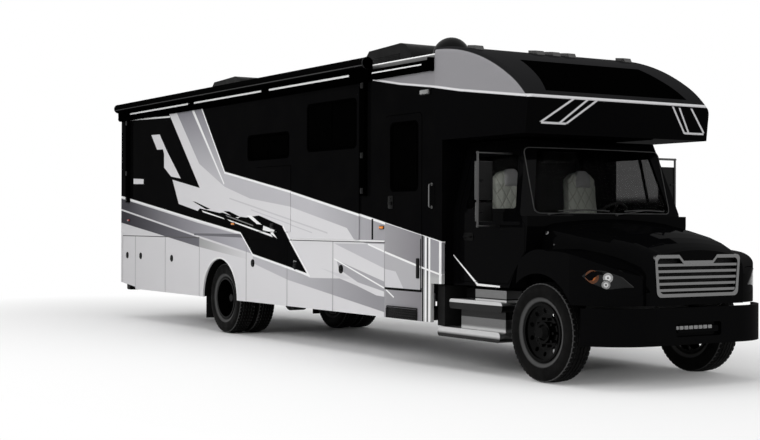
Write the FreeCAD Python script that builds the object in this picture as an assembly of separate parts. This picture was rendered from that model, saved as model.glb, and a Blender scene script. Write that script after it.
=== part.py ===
import FreeCAD, Part
import math
import os

# Motorhome: a coach body on a bonneted truck chassis. Millimetres.
# X runs forward, Y to the left, Z up from the ground; the origin is under the middle.

V = FreeCAD.Vector
RIGHT = -1
LEFT = 1

# Driving dimensions of the whole vehicle
FRONT_OVERHANG = 1070.0
WHEELBASE = 7350.0
REAR_OVERHANG = 3924.0
BUMPER_REACH = 60.0
BODY_HALF_WIDTH = 1285.0
AXLE_X = (WHEELBASE + REAR_OVERHANG + BUMPER_REACH - FRONT_OVERHANG) / 2
REAR_AXLE_X = AXLE_X - WHEELBASE
BODY_REAR_X = REAR_AXLE_X - REAR_OVERHANG
BODY_FRONT_X = AXLE_X - 1600.0
CAP_SEAM_X = AXLE_X - 1750.0
NOSE_X = AXLE_X + FRONT_OVERHANG

# Clearances
SEAT_GAP = 0.3
RUN_GAP = 0.05
RUN_CLEAR = 5.0
DOOR_GAP = 6.0
TYRE_SEAT = 0.3

# Tyres and wheels
TYRE_RADIUS = 515.0
TYRE_WIDTH = 279.0
SHOULDER_DROP = 14.0
SHOULDER_INSET = 30.0
BEAD_RADIUS = 286.0
BEAD_WIDTH = 210.0
FRONT_TRACK_HALF = 1030.0
DUAL_OUTER_HALF = 1070.0
DUAL_SPACING = 318.0
FRONT_DISH = 60.0
DUAL_DISH = -110.0
BORE_DEPTH = 30.0
DUAL_BORE_DEPTH = 80.0
RIM_WALL = 12.0
FLANGE_RISE = 15.0
HUB_RADIUS = 110.0
HUB_START_HALF = 985.0
SPINDLE_RADIUS = 40.0
STUD_CIRCLE = 285.75
STUD_COUNT = 10
NUT_RADIUS = 16.0
HAND_HOLES = 10
HAND_HOLE_RADIUS = 24.0
HAND_HOLE_CIRCLE = 222.0
DISC_FLAT = 186.0
DISC_RISE = 30.0
DISC_WALL = 13.0

# Steering and axles
KINGPIN_HALF = 905.0
KINGPIN_RADIUS = 20.0
KINGPIN_BOSS_RADIUS = 48.0
KINGPIN_BOSS_HEIGHT = 110.0
BEAM_DEPTH = 100.0
BEAM_Z = 400.0
BEAM_HEIGHT = 110.0
AXLE_TUBE_RADIUS = 75.0
DIFF_RADIUS = 215.0
DIFF_NOSE = 310.0
SPRING_WIDTH = 76.0
SPRING_LENGTH = 1320.0
SPRING_THICK = 48.0

# Chassis frame
RAIL_HALF = 432.0
RAIL_HEIGHT = 260.0
RAIL_FLANGE = 80.0
RAIL_WALL = 9.0
HORN_WALL = 12.0
RAIL_TOP_Z = 944.0
RAIL_FRONT_X = AXLE_X + 900.0
RAIL_REAR_X = BODY_REAR_X + 80.0
CROSSMEMBER_XS = [820.0, -1500.0, -3100.0, -4700.0, -WHEELBASE + 1050.0, -WHEELBASE - 1050.0,
                  -WHEELBASE - 2850.0]
CROSSMEMBER_WIDTH = 90.0
DECK_RISERS = [-2300.0, -3900.0, -5500.0, -WHEELBASE + 850.0, -WHEELBASE - 950.0, -WHEELBASE - 2350.0,
               -WHEELBASE - 3550.0]
RISER_HALF = 40.0
CROSSMEMBER_RISE = 160.0

# Coach body
WALL = 45.0
SKIN = 38.0
SKIRT_BOTTOM_Z = 510.0
DECK_BOTTOM_Z = 1330.0
DECK_Z = 1400.0
WALL_TOP_Z = 3480.0
ROOF_CREST_Z = 3620.0
ROOF_SHOULDER_Z = 3560.0
ROOF_SHOULDER_INSET = 110.0
ROOF_THICK = 50.0
CAP_BOTTOM_Z = 2560.0
BAY_BACK_HALF = RAIL_HALF + 115.0
BAY_DEPTH = BODY_HALF_WIDTH - SKIN - SEAT_GAP - BAY_BACK_HALF
BAY_WALL = 15.0
BAY_FLOOR_Z = 530.0
POST_WIDTH = 50.0
REAR_RISE = 96.0
REAR_RISE_START = 640.0
ARCH_RADIUS = TYRE_RADIUS + 65.0
LINER_WALL = 12.0

# Seams between the storage doors, measured back from the front axle
REAR_SEAMS = [-WHEELBASE - back for back in (3850.0, 3280.0, 2020.0, 720.0)]
FRONT_BAY_END = -2800.0
FRONT_BAY_START = -WHEELBASE + 870.0
FRONT_BAY_COUNT = 3
FRONT_BAY_WIDTH = (FRONT_BAY_END - FRONT_BAY_START) / FRONT_BAY_COUNT
FRONT_SEAMS = [FRONT_BAY_START + FRONT_BAY_WIDTH * i for i in range(FRONT_BAY_COUNT + 1)]
REAR_BAYS = list(zip(REAR_SEAMS, REAR_SEAMS[1:]))
FRONT_BAYS = list(zip(FRONT_SEAMS, FRONT_SEAMS[1:]))
RIGHT_BAYS = REAR_BAYS + FRONT_BAYS
LEFT_BAYS = [REAR_BAYS[1], FRONT_BAYS[-1]]

# Entry door on the right side
ENTRY_REAR = -2790.0
ENTRY_FRONT = -2000.0
ENTRY_BOTTOM_Z = 845.0
ENTRY_TOP_Z = 2900.0
ENTRY_CORNER = 60.0
ENTRY_WINDOW = (-2650.0, -2100.0, 2020.0, ENTRY_TOP_Z - 110.0)
STAIR_DEPTH = 650.0

# Slide-out rooms
SLIDE_SPAN = (-5085.0, -3390.0)
SLIDE_BOTTOM_Z = 1445.0
SLIDE_TOP_Z = 3270.0
SLIDE_PROUD = 20.0
SLIDE_FLANGE = 25.0
SLIDE_DEPTH = 700.0
SLIDE_GAP = 8.0
SLIDE_WINDOW = (-4650.0, -3445.0, 2570.0, 3150.0)

# Lift-up hatch in the right wall
HATCH = (-6180.0, -5150.0, 1500.0, 2400.0)
HATCH_CORNER = 30.0
JAMB_LAP = 22.0
JAMB_DEPTH = 15.0

# Fixed windows in the walls
WINDOWS_RIGHT = [(-6420.0, -5230.0, 2520.0, 2835.0)]
WINDOWS_LEFT = [(-10300.0, -9200.0, 2400.0, 2950.0), (-8300.0, -7400.0, 2520.0, 2835.0),
                (-6300.0, -4700.0, 2250.0, 2950.0), (-3000.0, -2200.0, 2400.0, 2950.0)]
WINDOW_CORNER = 50.0
GLASS = 6.0

# Cab and hood
CAB_HALF_WIDTH = 1130.0
CAB_ROOF_HALF = 900.0
CAB_WALL = 40.0
CAB_NOSE_X = -265.0
CAB_CORNER = (-290.0, 1340.0)
CAB_BOW = 110.0
CAB_BOTTOM_Z = RAIL_TOP_Z + SEAT_GAP
CAB_BELT_Z = 1750.0
CAB_ROOF_Z = 2535.0
CAB_FLOOR_Z = 1080.0
HOOD_WALL = 14.0
HOOD_REAR_X = -330.0
HOOD_FRONT_X = 1050.0
HOOD_REAR_HALF = 930.0
HOOD_FRONT_HALF = 640.0
HOOD_REAR_Z = 1690.0
HOOD_FRONT_Z = 1370.0
HOOD_SHOULDER = 175.0
HOOD_CROWN = 45.0
HOOD_BOTTOM_Z = 825.0
FENDER_HALF = 1205.0
FENDER_ARCH = TYRE_RADIUS + 90.0
HOOD_PIVOT = (985.0, 880.0)
HOOD_GAP = 8.0
HOOD_PIN_RADIUS = 15.0
LUG_INNER = 330.0
LUG_WALL = 20.0
CAB_DOOR = (-1490.0, -300.0)
CAB_DOOR_BOTTOM_Z = 985.0
CAB_DOOR_LEAN = 9.0
CAB_DOOR_TOP_Z = 2440.0

# Front bumper
BUMPER_TOP_Z = 800.0
BUMPER_BOTTOM_Z = 430.0
BUMPER_WALL = 8.0
BUMPER_END_X = 660.0
BUMPER_FLAT_HALF = 600.0
BUMPER_END_HALF = 1195.0

# Roof equipment
AIRCON_PLACES = [-4230.0, -WHEELBASE - 1750.0]
AIRCON_LENGTH = 1150.0
AIRCON_WIDTH = 700.0
AIRCON_HEIGHT = 340.0
DOME_PLACE = (-2620.0, -450.0)
DOME_RADIUS = 230.0

# Awning along the right roof edge
AWNING_SPAN = (-WHEELBASE - 3900.0, -3080.0)
AWNING_OUT = 150.0
AWNING_Z = 3560.0
AWNING_RADIUS = 72.0
AWNING_BOTTOM_Z = 3345.0
AWNING_ARMS = [-WHEELBASE - 3560.0, -3240.0]
AWNING_ARM_LOW_Z = 1960.0

# Mirrors
MIRROR_REACH = 290.0
MIRROR_TUBE = 13.0


def ax(offset):
    """Place along X, measured forward from the front axle."""
    return AXLE_X + offset


def block(x0, x1, y0, y1, z0, z1):
    low = V(min(x0, x1), min(y0, y1), min(z0, z1))
    return Part.makeBox(abs(x1 - x0), abs(y1 - y0), abs(z1 - z0), low)


def on_side(y):
    return lambda a, b: V(a, y, b)


def on_front(x):
    return lambda a, b: V(x, a, b)


def on_top(z):
    return lambda a, b: V(a, b, z)


def outline(points, place):
    """Closed wire; a point given as (a, b, ma, mb) is reached by an arc through (ma, mb)."""
    edges = []
    last = points[-1]
    for point in points:
        start = place(last[0], last[1])
        end = place(point[0], point[1])
        if len(point) == 4:
            middle = place(point[2], point[3])
            edges.append(Part.Arc(start, middle, end).toShape())
        elif start.distanceToPoint(end) > 1e-6:
            edges.append(Part.LineSegment(start, end).toShape())
        last = point
    return Part.Wire(edges)


def prism(points, place, sweep):
    return Part.Face(outline(points, place)).extrude(sweep)


def side_prism(points, y0, y1):
    return prism(points, on_side(y0), V(0, y1 - y0, 0))


def front_prism(points, x0, x1):
    return prism(points, on_front(x0), V(x1 - x0, 0, 0))


def top_prism(points, z0, z1):
    return prism(points, on_top(z0), V(0, 0, z1 - z0))


def rounded(a0, a1, b0, b1, radius):
    """Rectangle with round corners as outline points."""
    k = radius * (1 - math.sqrt(0.5))
    return [(a1 - radius, b0), (a1, b0 + radius, a1 - k, b0 + k),
            (a1, b1 - radius), (a1 - radius, b1, a1 - k, b1 - k),
            (a0 + radius, b1), (a0, b1 - radius, a0 + k, b1 - k),
            (a0, b0 + radius), (a0 + radius, b0, a0 + k, b0 + k)]


def rod(start, end, radius):
    a = V(*start)
    b = V(*end)
    return Part.makeCylinder(radius, a.distanceToPoint(b), a, b.sub(a))


def fuse_all(shapes):
    result = shapes[0]
    if len(shapes) > 1:
        result = result.multiFuse(shapes[1:])
    return result.removeSplitter()


def mirrored(shape):
    return shape.mirror(V(0, 0, 0), V(0, 1, 0))


def on_both_sides(shape):
    return [shape, mirrored(shape)]


def revolve_about_axle(points, x, y, z):
    """Turn (distance along Y, radius) points about an axle line along Y."""
    wire = outline(points, lambda a, b: V(x, y + a, z + b))
    return Part.Face(wire).revolve(V(x, y, z), V(0, 1, 0), 360)


def save(name, shape):
    shape.exportStep("parts/%s.step" % name)


# Wheels

def tyre(x, y):
    half = TYRE_WIDTH / 2
    bead = BEAD_WIDTH / 2 - TYRE_SEAT
    inner = BEAD_RADIUS + TYRE_SEAT
    lip = inner + FLANGE_RISE
    side_mid = (TYRE_RADIUS + inner) / 2
    crown = TYRE_RADIUS - SHOULDER_DROP
    right_side = [(bead, inner), (bead, lip), (half, side_mid + 20), (half - 9, crown - 22),
                  (half - SHOULDER_INSET, TYRE_RADIUS)]
    left_side = [(-a, b) for a, b in reversed(right_side)]
    return revolve_about_axle(right_side + left_side, x, y, TYRE_RADIUS)


def rim_section(side, dish):
    """Closed rim section: barrel, flanges and a disc whose face lies at dish."""
    half = BEAD_WIDTH / 2
    seat = BEAD_RADIUS
    wall = RIM_WALL
    barrel = seat - wall
    bore = SPINDLE_RADIUS + RUN_GAP
    s = side
    return [(-s * half, seat + FLANGE_RISE), (-s * half, seat), (s * half, seat),
            (s * half, seat + FLANGE_RISE), (s * (half + wall), seat + FLANGE_RISE),
            (s * (half + wall), barrel), (s * (dish + DISC_RISE), barrel), (s * dish, DISC_FLAT),
            (s * dish, bore), (s * (dish - DISC_WALL), bore), (s * (dish - DISC_WALL), DISC_FLAT),
            (s * (dish + DISC_RISE - DISC_WALL), barrel), (-s * (half + wall), barrel),
            (-s * (half + wall), seat + FLANGE_RISE)]


def rim(x, y, side, dish):
    """Disc wheel with hand holes; side is the way the open face looks."""
    z = TYRE_RADIUS
    wheel = revolve_about_axle(rim_section(side, dish), x, y, z)
    holes = []
    for i in range(HAND_HOLES):
        angle = 2 * math.pi * (i + 0.5) / HAND_HOLES
        cx = x + HAND_HOLE_CIRCLE * math.cos(angle)
        cz = z + HAND_HOLE_CIRCLE * math.sin(angle)
        holes.append(rod((cx, y - 150, cz), (cx, y + 150, cz), HAND_HOLE_RADIUS))
    return wheel.cut(holes)


def hexagon(x, z, radius, y0, y1):
    """Six-sided bar along Y."""
    corners = [math.radians(60 * k) for k in range(6)]
    points = [(x + radius * math.cos(a), z + radius * math.sin(a)) for a in corners]
    return side_prism(points, y0, y1)


def wheel_nuts(x, face_y, side):
    """Ring of nuts standing on the disc face."""
    nuts = []
    for i in range(STUD_COUNT):
        angle = 2 * math.pi * i / STUD_COUNT
        cx = x + STUD_CIRCLE / 2 * math.cos(angle)
        cz = TYRE_RADIUS + STUD_CIRCLE / 2 * math.sin(angle)
        nuts.append(hexagon(cx, cz, NUT_RADIUS, face_y - side * 6, face_y + side * 30))
    return nuts


def hub(x, inner_y, outer_y, face_radius):
    """Hub barrel bored for the spindle, closed by a domed cap at its outer end."""
    side = 1 if outer_y > inner_y else -1
    barrel = rod((x, inner_y, TYRE_RADIUS), (x, outer_y, TYRE_RADIUS), face_radius)
    cap = Part.makeCone(face_radius * 0.78, face_radius * 0.5, 45,
                        V(x, outer_y - side * 1, TYRE_RADIUS), V(0, side, 0))
    return barrel.fuse(cap)


def front_wheel(side):
    """Single wheel with its hub, turning on the knuckle's spindle."""
    y = side * FRONT_TRACK_HALF
    dish = FRONT_DISH
    wheel = rim(AXLE_X, y, side, dish)
    face = y + side * dish
    barrel = hub(AXLE_X, side * HUB_START_HALF, face + side * 45, HUB_RADIUS)
    shape = fuse_all([wheel, barrel] + wheel_nuts(AXLE_X, face, side))
    bore_end = face + side * BORE_DEPTH
    bore = rod((AXLE_X, y - side * 200, TYRE_RADIUS), (AXLE_X, bore_end, TYRE_RADIUS),
               SPINDLE_RADIUS + RUN_GAP)
    return shape.cut(bore)


def dual_centres(side):
    outer = side * DUAL_OUTER_HALF
    return outer, outer - side * DUAL_SPACING


def rear_wheels(side):
    """Twin wheels back to back on one hub, the outer one deeply dished."""
    outer, inner = dual_centres(side)
    dish = DUAL_DISH
    outer_rim = rim(REAR_AXLE_X, outer, side, dish)
    inner_rim = rim(REAR_AXLE_X, inner, -side, dish)
    face = outer + side * dish
    barrel = hub(REAR_AXLE_X, inner + side * 60, face + side * 95, HUB_RADIUS)
    parts = [outer_rim, inner_rim, barrel] + wheel_nuts(REAR_AXLE_X, face, side)
    shape = fuse_all(parts)
    bore = rod((REAR_AXLE_X, inner - side * 300, TYRE_RADIUS),
               (REAR_AXLE_X, face + side * DUAL_BORE_DEPTH, TYRE_RADIUS),
               SPINDLE_RADIUS + RUN_GAP)
    return shape.cut(bore)


def rear_tyres(side):
    outer, inner = dual_centres(side)
    return Part.makeCompound([tyre(REAR_AXLE_X, outer), tyre(REAR_AXLE_X, inner)])


# Axles and steering

def knuckle(side):
    """Forked knuckle with its kingpin, spindle and steering arm."""
    y = side * KINGPIN_HALF
    z = TYRE_RADIUS
    half = KINGPIN_BOSS_HEIGHT / 2
    pin = rod((AXLE_X, y, z - half - 40), (AXLE_X, y, z + half + 40), KINGPIN_RADIUS)
    ears = []
    for way in (-1, 1):
        low = z + way * (half + SEAT_GAP)
        high = z + way * (half + 34)
        ears.append(rod((AXLE_X, y, low), (AXLE_X, y, high), KINGPIN_BOSS_RADIUS))
        ears.append(block(ax(-40), ax(40), y, y + side * 75, low, high))
    web = block(ax(-40), ax(40), y + side * 55, y + side * 75, z - half - 34, z + half + 34)
    end = side * (FRONT_TRACK_HALF + FRONT_DISH + BORE_DEPTH - RUN_CLEAR)
    spindle = rod((AXLE_X, y + side * 70, z), (AXLE_X, end, z), SPINDLE_RADIUS)
    arm = side_prism([(ax(-30), z - 95), (ax(-30), z - 75), (ax(-190), z - 75), (ax(-190), z - 95)],
                     y - side * 25, y + side * 5)
    return fuse_all([pin] + ears + [web, spindle, arm])


def leaf_spring(x, y, z):
    """Arched pack of leaves seen from the side, thicker at its middle."""
    half = SPRING_LENGTH / 2
    t = SPRING_THICK
    arched = [(x - half, z + 70), (x + half, z + 70, x, z), (x + half, z + 88),
              (x + 140, z + t, x + half * 0.55, z + 56), (x - 140, z + t),
              (x - half, z + 88, x - half * 0.55, z + 56)]
    return side_prism(arched, y - SPRING_WIDTH / 2, y + SPRING_WIDTH / 2)


def spring_hangers(x, y, z):
    """Brackets that carry the spring's two ends from the frame rail."""
    half = SPRING_LENGTH / 2
    rail_bottom = RAIL_TOP_Z - RAIL_HEIGHT
    hangers = []
    for way in (-1, 1):
        hangers.append(block(x + way * (half - 40), x + way * (half + 20),
                             y - SPRING_WIDTH / 2, y + SPRING_WIDTH / 2, z + 66, rail_bottom))
    return hangers


def front_axle():
    """Dropped I-section beam on two leaf springs."""
    boss = KINGPIN_BOSS_HEIGHT / 2
    low = BEAM_Z - BEAM_HEIGHT / 2
    high = BEAM_Z + BEAM_HEIGHT / 2
    end_low = TYRE_RADIUS - boss
    end_high = TYRE_RADIUS + boss
    k = KINGPIN_HALF
    beam = front_prism([(-560, low), (560, low), (700, low + 40), (k - 75, end_low),
                        (k, end_low), (k, end_high),
                        (k - 90, end_high), (640, high + 30), (540, high), (-540, high),
                        (-640, high + 30), (-k + 90, end_high), (-k, end_high), (-k, end_low),
                        (-k + 75, end_low), (-700, low + 40)], ax(-BEAM_DEPTH / 2), ax(BEAM_DEPTH / 2))
    pockets = []
    for way in (-1, 1):
        pockets.append(block(ax(way * 12), ax(way * BEAM_DEPTH / 2), -330, 330, low + 22, high - 22))
    parts = [beam.cut(pockets)]
    for side in (RIGHT, LEFT):
        y = side * KINGPIN_HALF
        parts.append(rod((AXLE_X, y, end_low), (AXLE_X, y, end_high), KINGPIN_BOSS_RADIUS))
    solid = fuse_all(parts)
    bores = []
    for side in (RIGHT, LEFT):
        y = side * KINGPIN_HALF
        bores.append(rod((AXLE_X, y, end_low - 5), (AXLE_X, y, end_high + 5),
                         KINGPIN_RADIUS + RUN_GAP))
    solid = solid.cut(bores)
    springs = []
    for side in (RIGHT, LEFT):
        y = side * (RAIL_HALF - RAIL_FLANGE / 2)
        springs.append(leaf_spring(AXLE_X, y, high - 8))
        springs += spring_hangers(AXLE_X, y, high - 8)
    return fuse_all([solid] + springs)


def rear_axle():
    """Banjo housing with its tubes and spindles, on two leaf springs."""
    z = TYRE_RADIUS
    x = REAR_AXLE_X
    outer, inner = dual_centres(LEFT)
    spindle_end = outer + DUAL_DISH + DUAL_BORE_DEPTH - RUN_CLEAR
    tube_end = inner - TYRE_WIDTH / 2 - 20
    parts = [rod((x, -tube_end, z), (x, tube_end, z), AXLE_TUBE_RADIUS),
             rod((x, -spindle_end, z), (x, spindle_end, z), SPINDLE_RADIUS),
             rod((x, -110, z), (x, 110, z), DIFF_RADIUS),
             Part.makeCone(150, 70, DIFF_NOSE - 120, V(x + 120, 0, z), V(1, 0, 0))]
    for side in (RIGHT, LEFT):
        y = side * (RAIL_HALF - RAIL_FLANGE / 2)
        perch = z + AXLE_TUBE_RADIUS - 15
        parts.append(leaf_spring(x, y, perch))
        parts += spring_hangers(x, y, perch)
    return fuse_all(parts)


# Chassis

def frame():
    """Two channel rails, horns with the hood's pins, crossmembers and risers under the deck."""
    bottom = RAIL_TOP_Z - RAIL_HEIGHT
    t = RAIL_WALL
    web = RAIL_HALF
    lip = RAIL_HALF - RAIL_FLANGE
    channel = [(web, bottom), (web, RAIL_TOP_Z), (lip, RAIL_TOP_Z), (lip, RAIL_TOP_Z - t),
               (web - t, RAIL_TOP_Z - t), (web - t, bottom + t), (lip, bottom + t), (lip, bottom)]
    rail = front_prism(channel, RAIL_REAR_X, RAIL_FRONT_X)
    px, pz = HOOD_PIVOT
    reach = web - t - SEAT_GAP
    horn = side_prism([(ax(px - 250), bottom + 60), (ax(px - 30), bottom + 120),
                       (ax(px + 22), pz - 12), (ax(px), pz + 26, ax(px + 22), pz + 14),
                       (ax(px - 250), RAIL_TOP_Z - 20)], reach - HORN_WALL, reach)
    pin = rod((ax(px), LUG_INNER - 10, pz), (ax(px), reach, pz), HOOD_PIN_RADIUS)
    solids = on_both_sides(rail) + on_both_sides(horn.fuse(pin))
    low = bottom + CROSSMEMBER_RISE
    high = RAIL_TOP_Z - t - SEAT_GAP
    for offset in CROSSMEMBER_XS:
        x = ax(offset)
        w = CROSSMEMBER_WIDTH / 2
        solids.append(side_prism([(x - w, low), (x + w, low), (x + w, high), (x + w - t, high),
                                  (x + w - t, low + t), (x - w + t, low + t), (x - w + t, high),
                                  (x - w, high)], -reach, reach))
    for offset in DECK_RISERS:
        riser = block(ax(offset) - RISER_HALF, ax(offset) + RISER_HALF, lip, web,
                      RAIL_TOP_Z + SEAT_GAP, DECK_BOTTOM_Z - SEAT_GAP)
        solids += on_both_sides(riser)
    return Part.makeCompound(solids)


def powertrain():
    """Engine and gearbox as plain masses, and the shaft to the rear axle."""
    engine = block(ax(-250), ax(620), -300, 300, 640, 1290)
    gearbox = Part.makeCone(150, 100, 860, V(ax(-250), 0, 780), V(-1, 0, 0))
    shaft = rod((ax(-1100), 0, 775), (REAR_AXLE_X + DIFF_NOSE + 2.6, 0, TYRE_RADIUS + 8), 50)
    web = RAIL_HALF - RAIL_WALL - SEAT_GAP
    mount = block(ax(180), ax(270), -web, -290, 750, 810)
    return fuse_all([engine, gearbox, shaft] + on_both_sides(mount))


# Coach body, lower part

def skirt_taper(y0, y1):
    """Wedge under the rear overhang where the skirt rises."""
    start = BODY_REAR_X + REAR_RISE_START
    return side_prism([(BODY_REAR_X - 200, 0), (start, 0), (start, SKIRT_BOTTOM_Z + 38),
                       (BODY_REAR_X, SKIRT_BOTTOM_Z + REAR_RISE), (BODY_REAR_X - 200,
                        SKIRT_BOTTOM_Z + REAR_RISE + 20)], y0, y1)


def bay_floor(x0):
    """Underside of a bay, higher where the skirt rises at the tail."""
    in_tail = x0 < BODY_REAR_X + REAR_RISE_START - 100
    return BAY_FLOOR_Z + (REAR_RISE if in_tail else 0)


def bay_box(x0, x1):
    """Open storage bay: floor, back and end walls, open towards the right side."""
    outer = -(BODY_HALF_WIDTH - SKIN - SEAT_GAP)
    back = outer + BAY_DEPTH
    floor = bay_floor(x0)
    box = block(x0, x1, outer, back, floor, DECK_BOTTOM_Z)
    room = block(x0 + BAY_WALL, x1 - BAY_WALL, outer - 50, back - BAY_WALL,
                 floor + BAY_WALL, DECK_BOTTOM_Z + 50)
    return box.cut(room)


def bay_frame(x0, x1):
    """Jambs that a storage door closes against."""
    outer = -(BODY_HALF_WIDTH - SKIN - SEAT_GAP)
    inner = outer + 30
    floor = bay_floor(x0)
    lap = POST_WIDTH / 2
    frame_ring = block(x0 - lap, x1 + lap, outer, inner, floor, DECK_BOTTOM_Z)
    hole = block(x0 + POST_WIDTH / 2, x1 - POST_WIDTH / 2, outer - 50, inner + 50,
                 floor + POST_WIDTH / 2, DECK_BOTTOM_Z - 8)
    return frame_ring.cut(hole)


def skirt_fill(bays):
    """Fixed skirt panels wherever there is no storage door."""
    outer = -BODY_HALF_WIDTH
    inner = -(BODY_HALF_WIDTH - SKIN - SEAT_GAP)
    panel = block(BODY_REAR_X, ax(-1810), outer, inner, SKIRT_BOTTOM_Z, DECK_Z)
    tail = block(ax(-1810), BODY_FRONT_X, outer, inner, 950, DECK_Z)
    cuts = [skirt_taper(outer - 10, inner + 10)]
    for x0, x1 in bays:
        cuts.append(block(ax(x0), ax(x1), outer - 10, inner + 10, 0, DECK_Z + 10))
    arch = rod((REAR_AXLE_X, outer - 10, TYRE_RADIUS), (REAR_AXLE_X, inner + 10, TYRE_RADIUS),
               ARCH_RADIUS)
    cuts.append(arch)
    under_arch = block(REAR_AXLE_X - ARCH_RADIUS, REAR_AXLE_X + ARCH_RADIUS, outer - 10,
                       inner + 10, 0, TYRE_RADIUS)
    cuts.append(under_arch)
    return [panel.cut(cuts), tail]


def wheel_liner():
    """Half-round liner over the twin wheels."""
    outer = -BODY_HALF_WIDTH
    back = outer + BAY_DEPTH + SKIN
    radius = ARCH_RADIUS + LINER_WALL
    z = TYRE_RADIUS
    tube = rod((REAR_AXLE_X, outer, z), (REAR_AXLE_X, back, z), radius)
    bore = rod((REAR_AXLE_X, outer - 10, z), (REAR_AXLE_X, back + 10, z), ARCH_RADIUS)
    lower = block(REAR_AXLE_X - 900, REAR_AXLE_X + 900, outer - 10, back + 10, -200, z)
    hanger = block(REAR_AXLE_X - 60, REAR_AXLE_X + 60, back - 60, back, z + ARCH_RADIUS + 6,
                   DECK_BOTTOM_Z + 2)
    return [tube.cut([bore, lower]), hanger]


def stair_cut():
    """Space of the entry steps, open from the doorway into the body."""
    return block(ax(ENTRY_REAR), ax(ENTRY_FRONT), -BODY_HALF_WIDTH - 50,
                 -BODY_HALF_WIDTH + STAIR_DEPTH, ENTRY_BOTTOM_Z, ENTRY_TOP_Z)


def stair_well():
    """Two treads and the walls around the entry steps."""
    y0 = -(BODY_HALF_WIDTH - SKIN - SEAT_GAP)
    y1 = -BODY_HALF_WIDTH + STAIR_DEPTH
    x0 = ax(ENTRY_REAR)
    x1 = ax(ENTRY_FRONT)
    t = 20.0
    well = block(x0 - t, x1 + t, y0, y1 + t, ENTRY_BOTTOM_Z - t, DECK_BOTTOM_Z + 5)
    room = block(x0, x1, y0 - 50, y1, ENTRY_BOTTOM_Z, DECK_BOTTOM_Z + 60)
    step = block(x0, x1, y0 + 300, y1, ENTRY_BOTTOM_Z, ENTRY_BOTTOM_Z + 280)
    return [well.cut(room), step]


def lower_side(bays):
    """Everything below the deck on the right side, before mirroring."""
    parts = []
    for x0, x1 in bays:
        parts.append(bay_box(ax(x0), ax(x1)))
        parts.append(bay_frame(ax(x0), ax(x1)))
    parts += skirt_fill(bays)
    parts += wheel_liner()
    taper = skirt_taper(-BODY_HALF_WIDTH - 50, 0)
    return [part.cut(taper) for part in parts]


def lower_body():
    """Deck, storage bays, fixed skirts, wheel liners and entry steps."""
    edge = BODY_HALF_WIDTH - SKIN - SEAT_GAP
    deck = block(BODY_REAR_X + WALL, BODY_FRONT_X - WALL, -edge, edge, DECK_BOTTOM_Z, DECK_Z)
    right = lower_side(RIGHT_BAYS)
    left = [mirrored(part) for part in lower_side(LEFT_BAYS)]
    body = fuse_all([deck] + right + left)
    body = body.cut(stair_cut())
    return fuse_all([body] + stair_well())


def storage_door(side, x0, x1):
    """Flat door with round corners that closes against its jambs."""
    gap = DOOR_GAP / 2
    y0 = side * BODY_HALF_WIDTH
    y1 = side * (BODY_HALF_WIDTH - SKIN)
    points = rounded(ax(x0) + gap, ax(x1) - gap, SKIRT_BOTTOM_Z + 2, DECK_Z - DOOR_GAP, 12)
    door = side_prism(points, y0, y1)
    return door.cut(skirt_taper(-BODY_HALF_WIDTH - 50, BODY_HALF_WIDTH + 50))


# Coach body, upper part

def wall_panel(y0, y1):
    """Side wall from the deck to the roof edge, stepped forward under the cap."""
    return side_prism([(BODY_REAR_X, DECK_Z), (BODY_FRONT_X, DECK_Z), (BODY_FRONT_X, CAP_BOTTOM_Z),
                       (CAP_SEAM_X, CAP_BOTTOM_Z), (CAP_SEAM_X, WALL_TOP_Z),
                       (BODY_REAR_X, WALL_TOP_Z)], y0, y1)


def window_hole(window, y0, y1, margin=0.0):
    x0, x1, z0, z1 = window
    points = rounded(ax(x0) - margin, ax(x1) + margin, z0 - margin, z1 + margin,
                     WINDOW_CORNER + margin)
    return side_prism(points, y0, y1)


def slide_hole():
    x0, x1 = SLIDE_SPAN
    y0 = -BODY_HALF_WIDTH - 20
    return block(ax(x0), ax(x1), y0, y0 + WALL + 40, SLIDE_BOTTOM_Z, SLIDE_TOP_Z)


def hatch_outline(inset, y0, y1):
    x0, x1, z0, z1 = HATCH
    points = rounded(ax(x0) + inset, ax(x1) - inset, z0 + inset, z1 - inset, HATCH_CORNER)
    return side_prism(points, y0, y1)


def jamb(shape_of):
    """Ring behind an opening that its door closes against."""
    y0 = -BODY_HALF_WIDTH + WALL
    y1 = y0 + JAMB_DEPTH
    ring = shape_of(-JAMB_LAP, y0, y1).cut(shape_of(JAMB_LAP, y0 - 5, y1 + 5))
    above_deck = block(BODY_REAR_X, BODY_FRONT_X, y0 - 5, y1 + 5, DECK_Z + SEAT_GAP, WALL_TOP_Z)
    return ring.common(above_deck)


def right_wall():
    y0 = -BODY_HALF_WIDTH
    y1 = -BODY_HALF_WIDTH + WALL
    wall = wall_panel(y0, y1)
    cuts = [window_hole(window, y0 - 10, y1 + 10) for window in WINDOWS_RIGHT]
    cuts.append(slide_hole())
    cuts.append(entry_outline(0.0, y0 - 10, y1 + 10))
    cuts.append(hatch_outline(0.0, y0 - 10, y1 + 10))
    return fuse_all([wall.cut(cuts), jamb(entry_outline), jamb(hatch_outline)])


def hatch():
    """Lift-up hatch beside the slide-out."""
    y0 = -BODY_HALF_WIDTH
    return hatch_outline(DOOR_GAP, y0 - 4, y0 + WALL - SEAT_GAP)


def left_wall():
    y0 = BODY_HALF_WIDTH - WALL
    y1 = BODY_HALF_WIDTH
    wall = wall_panel(y0, y1)
    cuts = [window_hole(window, y0 - 10, y1 + 10) for window in WINDOWS_LEFT]
    return wall.cut(cuts)


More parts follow.
